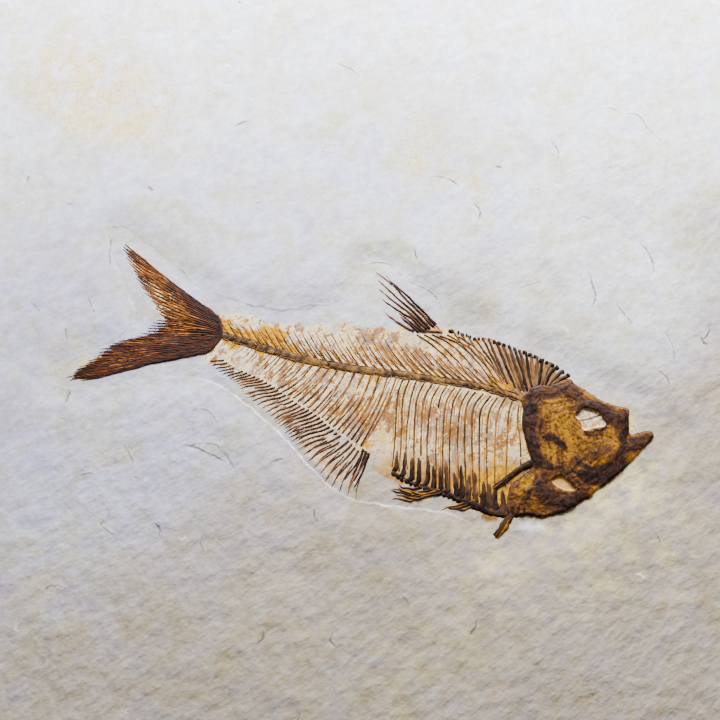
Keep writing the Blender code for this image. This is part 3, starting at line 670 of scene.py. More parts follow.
# The slender bones that carry the anal fin fan down to its leading rays.
FIN_BUNDLE = (
    ((7.5, -16.8), (4, -18.6), (0, -19.4), (-6, -17.6), (-11, -15.6), (-16, -14.2)),
    ((0.2, -31.8), (-3.2, -29.6), (-6.6, -27.2), (-11, -23.6), (-16, -20.4), (-21, -17.4)))
PROFILE = ((-1, 0), (-0.88, 0.5), (-0.5, 0.88), (0, 1), (0.5, 0.88), (0.88, 0.5), (1, 0))
SUNK = 0.16


def matched(guides, count):
    """Points evenly spaced along the first guide curve, and their partners on each of the others."""
    fine = [smooth_curve(guide) for guide in guides]
    reach, numbers = reach_along(fine[0]), np.arange(len(fine[0]))
    at = np.interp(np.linspace(0, reach[-1], count), reach, numbers)
    return [picked(line, numbers, at) for line in fine]


def bowed(start, end, lean, count=9):
    """Points from start to end, bent to the left of the run by lean of its length."""
    share = np.linspace(0, 1, count)[:, None]
    run = np.subtract(end, start)
    return start + run * share + np.array((-run[1], run[0])) * lean * np.sin(math.pi * share)


def lefts(line):
    """The way to the left of a line at each of its points."""
    run = np.gradient(line, axis=0)
    return np.stack([-run[:, 1], run[:, 0]], axis=1) / np.linalg.norm(run, axis=1)[:, None]


def spread_out(values, share):
    """Values given evenly along a bone, at each share of its length."""
    return np.interp(share, np.linspace(0, 1, np.size(values)), np.atleast_1d(values))


def lay_bones(name, bones, layer, step=0.5, gaps=0.25, sway=0.1):
    """Thin bones bedded in the floor of the pocket, swept into one mesh.

    Each is (path, widths, rises, tone): the last three are spread along its length. The mark
    called fibre is a place in the bone's own grain, which runs along it.
    """
    places, faces, tones, fibres, edges = [], [], [], [], []
    wide = len(PROFILE)
    for number, (path, widths, rises, tone) in enumerate(bones):
        path = np.asarray(path, float)
        length = reach_along(path)[-1]
        count = max(5, int(length / step) + 1)
        line = even(path, count)
        share = np.linspace(0, 1, count)
        left = lefts(line)
        own = layer + 2.37 * number
        line = line + left * (sway * rough(line, 0.5, own))[:, None]
        width = spread_out(widths, share) * (1 + 0.30 * rough(line, 0.9, own + 31.3))
        rise = spread_out(rises, share) * (1 + 0.35 * rough(line, 0.7, own + 57.9))
        gone = ramp(rough(line, 0.33, own + 83.1), 0.62 - gaps, 0.74 - gaps) if gaps else np.zeros(count)
        rise = rise - gone * (rise + 0.1) - (rise + 0.02) * ramp(share, 1 - 0.9 / length, 1.05)
        bed = pocket_floor(line)
        shade = spread_out(tone, share) + 0.15 * rough(line, 0.25, own + 11.7)
        first = len(places)
        for k in range(count):
            for across, up in PROFILE:
                spot = line[k] + left[k] * across * width[k] / 2
                chip = 0.05 * noise.noise((spot[0] * 2.1, spot[1] * 2.1, own)) * up
                places.append((spot[0], spot[1], bed[k] - SUNK + (rise[k] + SUNK) * up + chip))
                fibres.append((across * width[k] / 2, 0.22 * length * share[k], 2.0 * own))
                edges.append(abs(across))
            tones += [shade[k]] * wide
        for k in range(count - 1):
            low = first + k * wide
            for j in range(wide):
                after = (j + 1) % wide
                faces.append((low + j, low + after, low + wide + after, low + wide + j))
        faces.append(tuple(first + j for j in range(wide))[::-1])
        faces.append(tuple(first + (count - 1) * wide + j for j in range(wide)))
    marks = {"tone": tones, "edge": edges, "fibre": np.array(fibres) * MM}
    return mesh_object(name, places, faces, marks)


# Mineral bone: patches from dark to amber along each bone, a streaky mottle, and dark pits.
mix, given, answer = new_group(
    "mineral_bone", {"Place": "Vector", "Tone": "Float", "Patchiness": "Float",
                     "Dark": "Color", "Middle": "Color", "Light": "Color"},
    {"Colour": "Color", "Mottle": "Float", "Height": "Float"})
mineral_bone = mix.tree
patches = mix.clouds(given["Place"], 260.0, 3.0, 0.6, 0.3)
specks = mix.clouds(given["Place"], 1100.0, 4.0, 0.65)
fleck = mix.clouds(given["Place"], 2600.0, 3.0, 0.7)
spread = mix.plus(mix.times(mix.swing(patches, 0.5), given["Patchiness"]), mix.swing(specks, 0.3))
level = mix.plus(given["Tone"], spread)
colour = mix.over(mix.ranged(level, 0.0, 0.5), given["Dark"], given["Middle"])
colour = mix.over(mix.ranged(level, 0.5, 1.0), colour, given["Light"])
colour = mix.over(mix.ranged(fleck, 0.56, 0.68, 0.0, 0.5), colour, (0.004, 0.002, 0.0015))
pitted = mix.plus(mix.times(specks, 0.12), mix.times(fleck, 0.06))
for socket, value in (("Colour", colour), ("Mottle", specks), ("Height", pitted)):
    mix.feed(value, answer[socket])


def bone_grain(mix, patchiness, dark, middle, light):
    """What the group answers where a mesh carries a tone and a grain."""
    return mix.add("ShaderNodeGroup", {
        "Place": mix.mark("fibre", "Vector"), "Tone": mix.mark("tone"), "Patchiness": patchiness,
        "Dark": dark, "Middle": middle, "Light": light}, node_tree=mineral_bone).outputs


def bone_finish(name, dark, middle, light, patchiness, gloss=(0.55, 0.85), dusty=0.2):
    """A material of mineral bone whose feet are powdered with stone dust."""
    material, mix, shader, place = new_material(name, 0.6, 0.12)
    bone = bone_grain(mix, patchiness, dark, middle, light)
    dust = mix.plus(mix.mark("edge"), mix.swing(mix.clouds(place, 700.0), 0.25))
    colour = mix.over(mix.ranged(dust, 0.9, 1.2, 0.0, dusty), bone["Colour"], (0.45, 0.26, 0.11))
    mix.dress(shader, colour, mix.ranged(bone["Mottle"], 0.3, 0.7, *gloss), bone["Height"])
    return material


def stand_for(piece, finish, slot, *nodes):
    """Gives the piece its finish, hangs it from the root body and hides the model's solids that it stands in
    for.
    """
    piece.data.materials.append(finish)
    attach(piece, "root")
    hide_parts(*nodes)


def bone_piece(name, bones, layer, finish, slot, node, **lie):
    """The bones laid as one piece, with a finish, in place of the model's solid for them."""
    stand_for(lay_bones(name, bones, layer, **lie), finish, slot, node)


def fan(pair, count, lean, widths, rises, tone):
    """Bones from each point of one guide curve to its partner on the other."""
    return [(bowed(start, end, lean), widths, rises, tone) for start, end in zip(*matched(pair, count))]


def beside(path, x, y):
    """The path moved aside."""
    return [(at[0] + x, at[1] + y) for at in path]


beads = 8 * VERTEBRAE + 1
chance = np.random.default_rng(21)
pinch = np.abs(np.cos(math.pi * np.arange(beads) / 8)) ** 0.6
taper_off = np.interp(np.linspace(0, 1, beads), (0, 0.2, 0.5, 0.8, 1), (1.9, 2.3, 2.2, 1.8, 1.5))
groove = np.where(np.arange(beads) % 8 == 0, 0.6, 1.0)
warmer = np.interp(np.linspace(0, 1, beads), (0, 0.12, 0.4, 0.7, 1), (0.6, 0.66, 0.4, 0.22, 0.26))
blotch = np.repeat(chance.uniform(-0.35, 0.35, 2 * VERTEBRAE + 1), 4)[:beads]
chain = [(even(BACKBONE, 60), taper_off * (0.84 + 0.16 * pinch),
          0.11 * taper_off * (0.75 + 0.25 * pinch) * groove,
          warmer + blotch + 0.2 * (0.72 - pinch) - 0.3 * (groove < 1))]
for side in (-1, 1):
    edge_line = even(beside(BACKBONE, 0.18 * side, 0.86 * side), 60)
    for k in range(26):
        first, last = int(2.2 * k), int(2.2 * k + chance.uniform(2.2, 4.6))
        if last < 60:
            chain.append((edge_line[first:last + 1], (0.3, 0.55, 0.4), (0.08, 0.16, 0.08),
                          chance.uniform(0.1, 0.7)))
spines = fan(NEURAL, NEURAL_SPINES, 0.03, (0.6, 0.5, 0.36, 0.24), (0.2, 0.18, 0.15, 0.08), (0.5, 0.64, 0.78))
spines += fan((beside(NEURAL[0], 1.1, -0.1), beside(NEURAL[1], 0.9, -1.6)), NEURAL_SPINES - 1, 0.05,
              (0.32, 0.3, 0.16), (0.14, 0.12, 0.05), 0.78)
below = []
for k, (path, widths, rises, tone) in enumerate(
        fan(HAEMAL, HAEMAL_SPINES, 0.05, (0.5, 0.42, 0.34, 0.24), (0.2, 0.18, 0.15, 0.1),
            (0.62, 0.74, 0.8))):
    strong = 0.55 + 0.45 * min(1.0, k / 9)
    reach = 5 if k < 6 and k % 2 else 9
    below.append((path[:reach], [strong * w for w in widths], [strong * r for r in rises],
                  [v + 0.35 * (1 - strong) for v in tone]))
below += fan((beside(HAEMAL[0], 1.0, -0.3), beside(HAEMAL[1], 1.2, 1.0)), HAEMAL_SPINES - 1, 0.02,
             (0.3, 0.28, 0.2), (0.12, 0.11, 0.08), 0.75)
below += fan(FIN_BUNDLE, FIN_BEARERS, 0.02, (0.3, 0.5, 0.55, 0.6), (0.12, 0.16, 0.18, 0.18), (0.8, 0.66, 0.4))
ribs = []
for path in np.stack(matched(RIBS, RIB_COUNT), axis=1):
    path = path + chance.uniform(-0.22, 0.22, path.shape)
    size, paler = chance.uniform(0.8, 1.12), chance.uniform(-0.05, 0.16)
    tones = np.array((0.34, 0.42, 0.56, 0.5, 0.46, 0.36)) + paler + chance.uniform(-0.12, 0.12, 6)
    ribs.append((path, size * np.array((0.5, 0.62, 0.54, 0.5, 0.46)), (0.16, 0.2, 0.18, 0.16, 0.12), tones))
    ribs.append((path[:3] + (0.62, -0.5), (0.24, 0.3, 0.2), (0.08, 0.1, 0.05), 0.85))
    if chance.random() < 0.5:
        ribs.append((path[1:] + (-0.5, 0.3), (0.14, 0.24, 0.16), (0.04, 0.1, 0.04), 0.9))
thin = []
for k in range(THIN_STRANDS):
    at = even(BACKBONE, 121)[k] + chance.uniform((-0.5, 0.8), (0.5, 3.6))
    away = chance.uniform(2.2, 5.0)
    turn = math.radians(chance.uniform(118, 146))
    thin.append((bowed(at, at + away * np.array((math.cos(turn), math.sin(turn))), 0.05),
                 (0.16, 0.26, 0.12), (0.04, 0.11, 0.02), 0.85))
finish = bone_finish("vertebra_bone", (0.024, 0.010, 0.005), (0.088, 0.046, 0.020), (0.26, 0.125, 0.022), 1.1)
bone_piece("vertebrae", chain, 3.0, finish, "backbone_bone", "backbone", step=0.26, gaps=0.0, sway=0.14)
spine_bones = lay_bones("spines_and_ribs", spines + below + ribs + thin, 7.0, gaps=0.12, sway=0.07)
spine_bones.data.materials.append(bone_finish(
    "spine_bone", (0.018, 0.007, 0.002), (0.098, 0.038, 0.008), (0.38, 0.145, 0.018), 0.5))
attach(spine_bones, "root")


# Back scutes.
# A row of small hard plates along the back, from the fin to the head, each with a thick dark
# bar that slants down under it to the spines.

SCUTES = (
    (23.5, -2.1), (25.3, -2.7), (26.4, -3), (27.4, -3.4), (28.4, -3.8), (29.4, -4.1), (30.5, -4.3),
    (31.6, -4.2), (33.1, -4.6), (34.4, -5), (35.6, -5.5), (36.9, -5.9), (38.2, -6.4), (39.4, -6.9),
    (40.7, -7.4), (42, -7.9), (43.4, -8.4), (44.8, -9.1), (46.1, -9.9), (47.6, -10.6), (49, -11.3),
    (50.3, -12.2), (51.6, -13.1), (52.7, -14.1))
BARS = (
    ((24.4, -2.8), (26.5, -6), (29, -9)), ((26.2, -3.2), (28.4, -6.8), (31.4, -10.8)),
    ((28, -3.8), (30, -7.4), (33, -12.6)), ((30.1, -5), (33, -9.5), (35.4, -13.8)),
    ((31.6, -4.6), (33.4, -8.2), (36.4, -14.8)), ((33.2, -5), (34.6, -8.9), (37.4, -16.2)),
    ((35.1, -5.8), (37.2, -11.6), (39.2, -17)), ((36.6, -6), (38.2, -10.8), (40.6, -17.8)),
    ((38.2, -6.6), (39.4, -10.8), (41.4, -18)), ((39.6, -7.3), (41, -12), (42.2, -18)),
    ((40.9, -7.9), (42, -13), (42.9, -17.8)), ((42.3, -8.3), (42.9, -13.4), (43.4, -17.6)),
    ((43.6, -8.8), (43.9, -13.2), (44.1, -17)), ((45, -9.6), (44.8, -13), (44.6, -16.6)),
    ((46.4, -10.2), (45.8, -13), (45.2, -16.4)), ((48.1, -11), (46.9, -13.4), (45.9, -16.4)),
    ((49.6, -11.8), (48, -13.6), (46.8, -16.4)), ((51, -12.9), (49.2, -14.4), (47.6, -16.4)),
    ((52.4, -14), (50.4, -14.9), (48.6, -16.2)))
plates = []
for (x, y), (ahead_x, ahead_y) in zip(SCUTES, SCUTES[1:] + ((53.8, -15.4),)):
    reach = 0.36 + 0.1 * math.sin(4.1 * x)
    lean_x, lean_y = reach * (ahead_x - x), reach * (ahead_y - y)
    high = 0.1 + 0.14 * math.sin(2.3 * x)
    plates.append(([(x - lean_x, y - lean_y + high - 0.1), (x + lean_x, y + lean_y + high + 0.1)],
                   (0.95, 1.3 + 0.15 * math.sin(5.7 * x), 0.95), (0.26, 0.32, 0.26), 0.0))
bars = []
for k, path in enumerate(BARS):
    (x, y), (next_x, next_y), *rest = path
    stretch = 0.8 / math.hypot(next_x - x, next_y - y)
    path = ((x - stretch * (next_x - x), y - stretch * (next_y - y)), *path)
    size = (0.5, 0.55, 0.5, 0.6, 0.75, 0.85, 0.95, 1.0, 1.1)[min(k, 8)]
    tone = (0.85, 0.8, 0.75, 0.66, 0.6, 0.55)[k] if k < 6 else (0.48, 0.25, 0.54, 0.4, 0.2)[k % 5]
    bars.append((path, (0.8 * size, 0.95 * size, 0.8 * size), (0.22, 0.2, 0.14),
                 (tone - 0.15, tone, tone + 0.05)))
scute_bone = bone_finish("scute_mineral", (0.009, 0.0035, 0.002), (0.060, 0.026, 0.012),
                         (0.25, 0.115, 0.040), 0.7)
bone_piece("back_scute_row", bars + plates, 111.0, scute_bone, "scute_bone", "back_scutes",
           step=0.4, gaps=0.0, sway=0.14)


# Belly scutes.
# A keel of hooked plates along the belly with a short thick bar standing up from each, dark
# and close together towards the head.

BELLY = (
    (8, -37.9), (11.2, -40.1), (14.5, -41.3), (17.7, -42.4), (21, -43.6), (24.2, -44.8), (27.9, -46.4),
    (31.5, -47.8), (35, -48.5), (37.6, -48.5))
BELLY_BARS = (
    ((9.1, -34), (8.9, -37.2), (7.9, -38.2)), ((11.1, -34.7), (10.7, -38.6), (9.6, -39.6)),
    ((12.8, -35.5), (12.6, -39.6), (11.3, -40.6)), ((14.5, -36.4), (14.3, -40.6), (13.2, -41.4)),
    ((16.8, -34.6), (16.6, -40.4), (15.4, -42)), ((18.2, -38.6), (18.1, -41.6), (17.2, -42.6)),
    ((19.9, -37.4), (19.8, -42.3), (19, -43.2)), ((21.2, -37.4), (21.3, -42.8), (20.4, -43.8)),
    ((23.2, -38.8), (23.7, -43.6), (22.8, -44.6)), ((24.9, -38.4), (24.8, -44.3), (24, -45.3)),
    ((26.9, -39.6), (26.4, -45.2), (25.6, -46)), ((28.2, -39.9), (28, -46.2), (27.2, -46.9)),
    ((30.3, -41.6), (29.9, -46.8), (29, -47.5)), ((31.7, -42.2), (31.3, -47.2), (30.6, -48)),
    ((33.1, -42.4), (32.7, -47.8), (32, -48.5)), ((34.9, -43.4), (34.9, -48.2), (34.2, -49)),
    ((36.5, -45), (36.4, -48.6), (35.8, -49.2)), ((38, -45.8), (38.1, -48.2), (37.4, -49.2)))
keel = [(even(BELLY, 50), (0.3, 0.6, 1.0, 1.5, 2.0, 2.2, 1.6), (0.05, 0.12, 0.22, 0.28, 0.3, 0.3, 0.24),
         (0.4, 0.3, 0.2, 0.1, 0.05))]
hooks = []
for k, (path, size) in enumerate(zip(BELLY_BARS, np.linspace(0.9, 1.5, len(BELLY_BARS)))):
    (x, y), *rest = path
    longer = [(x, y + 1.2 + 0.8 * math.sin(2.9 * k)), (x, y), *rest]
    hooks.append((longer, (0.5, 0.9 * size, 1.1 * size, 1.25 * size, 1.5 * size, 1.2 * size),
                  (0.1, 0.16, 0.22, 0.28, 0.32, 0.24), (0.62, 0.42, 0.25, 0.12, 0.05)))
for (x, y), (ahead_x, ahead_y) in zip(even(BELLY, 27), even(BELLY, 27)[1:]):
    hooks.append((((x, y - 0.2), (ahead_x - 0.3, ahead_y - 0.9)), (0.9, 1.1, 0.5), (0.26, 0.3, 0.12), 0.1))
bone_piece("belly_scute_row", keel + hooks, 151.0, scute_bone, "scute_bone", "belly_scutes",
           step=0.4, gaps=0.0, sway=0.2)


# Dorsal fin.
# Eight long rays that lean back from a short thick root, with the thin supports that carry
# them running down and forward under the skin.

DORSAL_RAYS = (
    ((20.5, -1.8), (16.7, 2.8), (13.4, 6.3), (10.4, 9.3), (8, 11.5), (6.2, 13.7)),
    ((18.9, -0.9), (14.9, 3.6), (11.4, 7.1), (8.6, 10.4), (4.2, 14)),
    ((17.9, -1.5), (14.1, 2.8), (10.3, 6.3), (8, 8.7), (4.7, 11.8)),
    ((17.1, -1.6), (13.4, 2.3), (10.1, 5), (7.7, 6.9), (4.9, 9.3)),
    ((16.4, -2.1), (13.8, 0.9), (11.3, 2.6), (8.7, 4.3), (5.7, 6.6)), ((15.8, -2.1), (13.3, 0.1), (9.8, 3)),
    ((15.1, -2.3), (12.8, -0.2), (10.3, 1.8)), ((13.8, -2.1), (11, -0.5), (8.5, 1.2), (6.4, 3)))
FIN_SUPPORTS = (
    ((20.4, -3.2), (25.5, -5.7), (30.4, -10.8), (33.5, -16)),
    ((22.4, -2.9), (28, -6.6), (31.2, -10.2), (34.7, -15.7)),
    ((25.2, -3.5), (29.5, -6.5), (32.9, -10.7), (36.2, -15.9)),
    ((18.4, -2.9), (22.4, -5), (27, -9.4), (30, -13.8)), ((16.4, -2.9), (20, -5.2), (24, -9), (27, -12.8)),
    ((14.6, -2.9), (17.8, -5.2), (21.6, -8.6), (24.4, -12)))
rays = [(path, (1.0 - 0.04 * k, 0.78, 0.62, 0.5, 0.3), (0.34, 0.28, 0.22, 0.16, 0.1),
         (0.2, 0.26, 0.36, 0.45)) for k, path in enumerate(DORSAL_RAYS)]
rays += [(beside(path, 0.45, -0.45), (0.4, 0.3, 0.2), (0.16, 0.12, 0.05), 0.75) for path in DORSAL_RAYS[:6]]
root = [(((15.4, -2.3), (17.6, -2.1), (19.8, -2.0), (21.2, -2.6)), (0.3, 0.6, 1.2, 0.8),
         (0.14, 0.24, 0.34, 0.22), (0.3, 0.5, 0.8, 0.5))]
supports = [(path, (0.44, 0.4, 0.3), (0.2, 0.2, 0.1), (0.75, 0.6, 0.5)) for path in FIN_SUPPORTS]
finish = bone_finish("dorsal_ray_bone", (0.011, 0.004, 0.003), (0.066, 0.022, 0.008),
                     (0.34, 0.13, 0.030), 0.6)
bone_piece("dorsal_fin_rays", root + rays + supports, 191.0, finish, "fin_bone", "dorsal_fin",
           sway=0.14, gaps=0.12)


# Anal fin.
# A long low fin of about forty rays. Each hinges on a knuckle at its root, bends back, and
# frays into soft branches at its tip.

ANAL = (
    ((-34.6, -9.6), (-32.1, -11.6), (-28.3, -13.2), (-24.5, -14.9), (-22, -16.4), (-20.1, -17.9),
     (-18.1, -19.1), (-15.2, -21.4), (-12.3, -22.9), (-10.4, -24.2), (-8.2, -26.4), (-6.1, -28.1),
     (-4.6, -29.3), (-3.2, -30.2), (-2, -31.2), (-0.8, -32.5), (1.6, -34.2)),
    ((-38.6, -10.2), (-36.4, -12.8), (-32.9, -14.9), (-30.9, -16.6), (-29.7, -18.3), (-27.9, -20),
     (-25.5, -22), (-22.1, -25), (-20.6, -26.6), (-19, -28.2), (-17.8, -30), (-15.7, -32.2),
     (-14.2, -34.4), (-12.1, -36.8), (-10.2, -39), (-8.2, -41.8), (-3, -44)))
ANAL_RAYS = 39
BRANCHED = 7.5
anal = []
for k, (start, end) in enumerate(zip(*matched(ANAL, ANAL_RAYS))):
    share = k / (ANAL_RAYS - 1)
    length = np.linalg.norm(end - start)
    run = (end - start) / length
    aside = np.array((-run[1], run[0]))
    curl = np.linspace(0, 1, 11)[:, None]
    sweep = 0.022 * np.sin(2 * math.pi * curl) - 0.02 * np.sin(math.pi * curl)
    bend = start + run * length * curl + aside * length * sweep
    size = 0.27 + 0.26 * share
    tone = 0.72 - 0.34 * share + 0.12 * math.sin(3.7 * k)
    anal.append((bend, (1.25 * size, size, 0.9 * size, 0.8 * size, 0.4 * size),
                 (0.26, 0.24, 0.2, 0.18, 0.08), (tone - 0.15, tone + 0.05, tone + 0.25)))
    if length > BRANCHED:
        ahead = bend[3:] + (0.45, -0.6) + 0.012 * length * np.linspace(0, 1, 8)[:, None] * (12.0, -4.0)
        anal.append((ahead, (0.3, 0.42, 0.38, 0.2), (0.14, 0.18, 0.15, 0.05),
                     (tone, tone + 0.1, tone + 0.25)))
for k, reach in enumerate((0.62, 0.8, 0.95)):
    start, end = np.array((0.8 + 0.7 * k, -32.6 - 0.5 * k)), np.array((-3.4 + 0.9 * k, -42.6 + 0.1 * k))
    anal.append((bowed(start, start + (end - start) * (reach + 0.05), 0.04),
                 (0.8, 0.75, 0.6, 0.3), (0.3, 0.28, 0.2, 0.1), 0.05))
finish = bone_finish("anal_ray_bone", (0.014, 0.006, 0.004), (0.075, 0.028, 0.014), (0.27, 0.115, 0.045), 0.8)
bone_piece("anal_fin_rays", anal, 231.0, finish, "fin_bone", "anal_fin", step=0.45, gaps=0.16)


# Tail fin.
# Two lobes of close rays that fork again and again towards the edge, from a short stack of
# plates at the end of the backbone. They are dark at the root and amber farther out.

TAIL = (
    ((-37, 2.2), (-36.6, 1.5), (-36.2, 0.7), (-36, -0.4), (-35.9, -1.3), (-35.8, -2.3), (-35.8, -3.3),
     (-36.6, -4.8), (-37.8, -6.5), (-39, -7.7)),
    ((-61.9, 21.9), (-60.6, 18.8), (-58.9, 14.6), (-55.6, 8.9), (-52.7, 4.6), (-50.2, 0.2), (-54, -3.5),
     (-63.8, -6.5), (-70.4, -12.2), (-73.4, -15)))
TAIL_RAYS = 34
FRINGE_RAYS = 8
PROCURRENT = (
    ((-36.6, 1.6), (-40.6, 5.2)), ((-37.2, 1.9), (-42.4, 6.2)), ((-37.6, -6.2), (-43.6, -8.2)),
    ((-38, -6.9), (-46, -8.8)))
tail = []
for k, (start, end) in enumerate(zip(*matched(TAIL, TAIL_RAYS))):
    share = k / (TAIL_RAYS - 1)
    length = np.linalg.norm(end - start)
    run = (end - start) / length
    aside = np.array((-run[1], run[0]))
    middle = bowed(start, end, np.interp(share, (0, 0.5, 1), (0.014, 0.0, -0.004)), 13)
    dark = 0.14 if share < 0.1 or share > 0.93 else 0.0
    shift = 0.10 * math.sin(2.4 * k) - dark + (0.18 if share < 0.5 else -0.12)
    tones = (0.04, 0.06, 0.2 + shift, 0.54 + shift, 0.56 + shift, 0.36 + shift)
    slim = 0.62 if 0.1 < share < 0.46 else 1.0
    tail.append((middle, (0.55, 0.8, 0.62 * slim, 0.5 * slim, 0.3), (0.3, 0.3, 0.24, 0.18, 0.12), tones))
    for forked, turn, reach in ((4, 0.030, 0.97), (5, -0.030, 0.99), (7, 0.05, 0.93), (8, -0.052, 0.9)):
        if slim < 1 and forked in (5, 8) and k % 2 or k < 2 and turn < 0 or k > TAIL_RAYS - 3 and turn > 0:
            continue
        root = middle[forked]
        tip = root + (end - root) * (reach + 0.06 * math.sin(5.1 * k + turn * 90))
        tip = tip + aside * turn * length * 0.8
        tail.append((bowed(root, tip, 1.2 * turn, 6), (0.36, 0.44 * slim, 0.38 * slim, 0.2),
                     (0.2, 0.22, 0.18, 0.08), (tones[2] + 0.05, tones[3], tones[5])))
for k in range(FRINGE_RAYS):
    start, end = np.array((-46.4, 0.8 - 0.62 * k)), np.array((-52.6 - 0.8 * k, 0.9 - 0.72 * k))
    tail.append((bowed(start, end, 0.02, 5), (0.42, 0.42, 0.32, 0.16), (0.2, 0.2, 0.16, 0.06),
                 (0.15, 0.2, 0.35)))
for start, end in PROCURRENT:
    tail.append((bowed(start, end, 0.04), (0.7, 0.8, 0.4), (0.34, 0.34, 0.15), 0.12))
root = [(TAIL[0], (0.9, 1.6, 1.7, 1.4, 0.6), (0.26, 0.36, 0.4, 0.36, 0.24), (0.05, 0.12, 0.0, 0.16, 0.05)),
        (((-36.6, 0.6), (-38.2, 2.6), (-40.6, 4.9)), (1.6, 1.8, 0.7), (0.3, 0.36, 0.2), (0.0, 0.12))]
finish = bone_finish("tail_ray_bone", (0.022, 0.008, 0.006), (0.076, 0.020, 0.006), (0.38, 0.135, 0.020), 0.8)
bone_piece("tail_fin_rays", root + tail, 271.0, finish, "tail_bone", "tail_fin", gaps=0.05, sway=0.06)


# Pectoral fins.
# The paired fins behind the gill cover, folded shut into thick dark bundles of strands. The
# near one crosses the belly bars, and the far one shows as a stub below the belly.

PECTORAL = ((43, -35.8), (40.4, -37), (38.2, -38.4), (35.7, -40.2), (32.9, -42.4))
PECTORAL_FAR = ((36.9, -48.6), (35.6, -50.4), (34.4, -52.2), (32.6, -53.9))


def folded_fin(guide, widths, rise, strands, spread, tone):
    """Strands that leave one thick root and part a little towards their tips."""
    path = even(guide, 12)
    share = np.linspace(0, 1, 12)[:, None]
    bundle = [(path, widths, (rise, rise, 0.6 * rise), tone)]
    for k in range(strands):
        aside = spread * (k - (strands - 1) / 2)
        line = path + lefts(path) * aside * (0.25 + 0.75 * share ** 1.4)
        longer = line[-1] + (line[-1] - line[-3]) * (0.1 + 0.12 * ((k * 7) % 3))
        bundle.append((np.vstack([line[1:], longer]), (0.5 * widths[0], 0.5 * widths[1], 0.22),
                       (0.9 * rise, rise, 0.4 * rise), tone + 0.06 * (k % 2)))
    return bundle


dark_bone = bone_finish("dark_bone", (0.006, 0.0022, 0.001), (0.040, 0.014, 0.003),
                        (0.30, 0.11, 0.008), 0.9, (0.5, 0.8), 0.08)
strands = folded_fin(PECTORAL, (1.9, 1.6, 0.8), 0.4, 4, 0.4, 0.25)
bone_piece("pectoral_fin_strands", strands, 311.0, dark_bone, "dark_bone", "pectoral_fin",
           gaps=0.0, sway=0.12)
strands = folded_fin(PECTORAL_FAR, (1.6, 2.2, 1.7), 0.4, 4, 0.45, 0.5)
bone_piece("pectoral_fin_far_strands", strands, 331.0, dark_bone, "dark_bone", "pectoral_fin_far",
           gaps=0.0, sway=0.15)


# Pelvic fins.
# The small paired fins under the belly: loose dark threads that cross one another, with a
# second pair of threads farther forward.

PELVIC_THREADS = (
    ((21.2, -42.9), (17, -44), (13.6, -44.3), (12.4, -45.4), (9.7, -44.8), (7.8, -45.2)),
    ((21.2, -42.6), (14.6, -43.1), (12.9, -44), (9.8, -43.3), (7.3, -42.8)),
    ((19.5, -42.6), (16, -43.6), (12.2, -42.9), (7.8, -42.6)), ((14.4, -42.2), (10.5, -42.1), (9.3, -40.9)),
    ((17.4, -43.9), (14.2, -44.9), (11.6, -44.2), (8.6, -43.9)), ((12.6, -43.6), (10.4, -42.9), (9, -41.9)))
PELVIC_FAR_THREADS = (
    ((28, -45.2), (24.6, -46.2), (21.9, -46.7), (19.4, -47.7)),
    ((27.4, -46.2), (25.4, -47.4), (23.2, -47.6)), ((26.2, -46.4), (22.6, -47.2), (20.6, -46.9)))
threads = [(path, (0.75, 0.7, 0.5, 0.22), (0.34, 0.32, 0.24, 0.1), 0.5) for path in PELVIC_THREADS]
bone_piece("pelvic_fin_threads", threads, 351.0, dark_bone, "dark_bone", "pelvic_fin",
           gaps=0.0, sway=0.35)
threads = [(path, (0.6, 0.6, 0.4, 0.2), (0.3, 0.26, 0.18, 0.08), 0.6) for path in PELVIC_FAR_THREADS]
bone_piece("pelvic_fin_far_threads", threads, 371.0, dark_bone, "dark_bone", "pelvic_fin_far",
           gaps=0.0, sway=0.25)


# Skull.
# The crushed head: thin plates of the gill cover, cheek and jaws pressed into one another,
# cracked and amber-stained, with stone showing through the eye and a window in the cheek.

SKULL = (
    (40.8, -22.6), (40.5, -20.7), (40.9, -19.4), (42, -18.3), (43, -17.2), (44.3, -16.4), (45.9, -16.3),
    (47.6, -16.4), (49.6, -15.8), (51.6, -14.9), (53.3, -14.9), (54.4, -16.2), (56.7, -17.6), (59.1, -19.2),
    (60.9, -20.4), (62.7, -21.2), (64.9, -21.8), (67, -22.3), (67.4, -23.2), (67.1, -25.7), (67.1, -28.2),
    (67.7, -28.9), (69.7, -28.4), (72.2, -28.1), (73.2, -29.2), (72.5, -30.4), (71.1, -31.7), (69.3, -33.6),
    (66.2, -36.5), (63, -39.2), (60.5, -41.1), (57.7, -42.9), (56.9, -44), (55, -45), (52.2, -46.7),
    (50, -47.9), (47.9, -48.5), (45.5, -49.2), (43.4, -49.3), (41.1, -48.8), (38.7, -48.9), (36.6, -48.5),
    (36.2, -45.3), (36.8, -41.9), (39.1, -39.7), (42.2, -37.4), (41.7, -33), (40.8, -29.3), (40.4, -25.7))
EYE = (
    (53.7, -24.3), (54.7, -23.5), (55.9, -22.5), (57, -22.4), (58.3, -22.7), (59.6, -23.5), (60.6, -24.9),
    (61.2, -26.3), (61, -26.9), (59.3, -27.2), (57.2, -27.6), (55.8, -27.9), (55.2, -27.3), (55, -26))
EYE_CRACK = ((54.9, -25.5), (56.2, -25.2), (57.6, -24.9), (59, -24.5), (60.2, -24.1))
CHEEK_WINDOW = (
    (46.9, -40.5), (48.1, -39.6), (49.5, -39.3), (51, -40.5), (52.5, -42.4), (52.2, -42.9), (50.3, -42.8),
    (48.3, -41.9))
YELLOW_PLATE = (
    (39, -41.9), (39.3, -40.3), (40.7, -39.3), (42.7, -38.7), (42.7, -40), (41.7, -41.6), (39.5, -42.2))
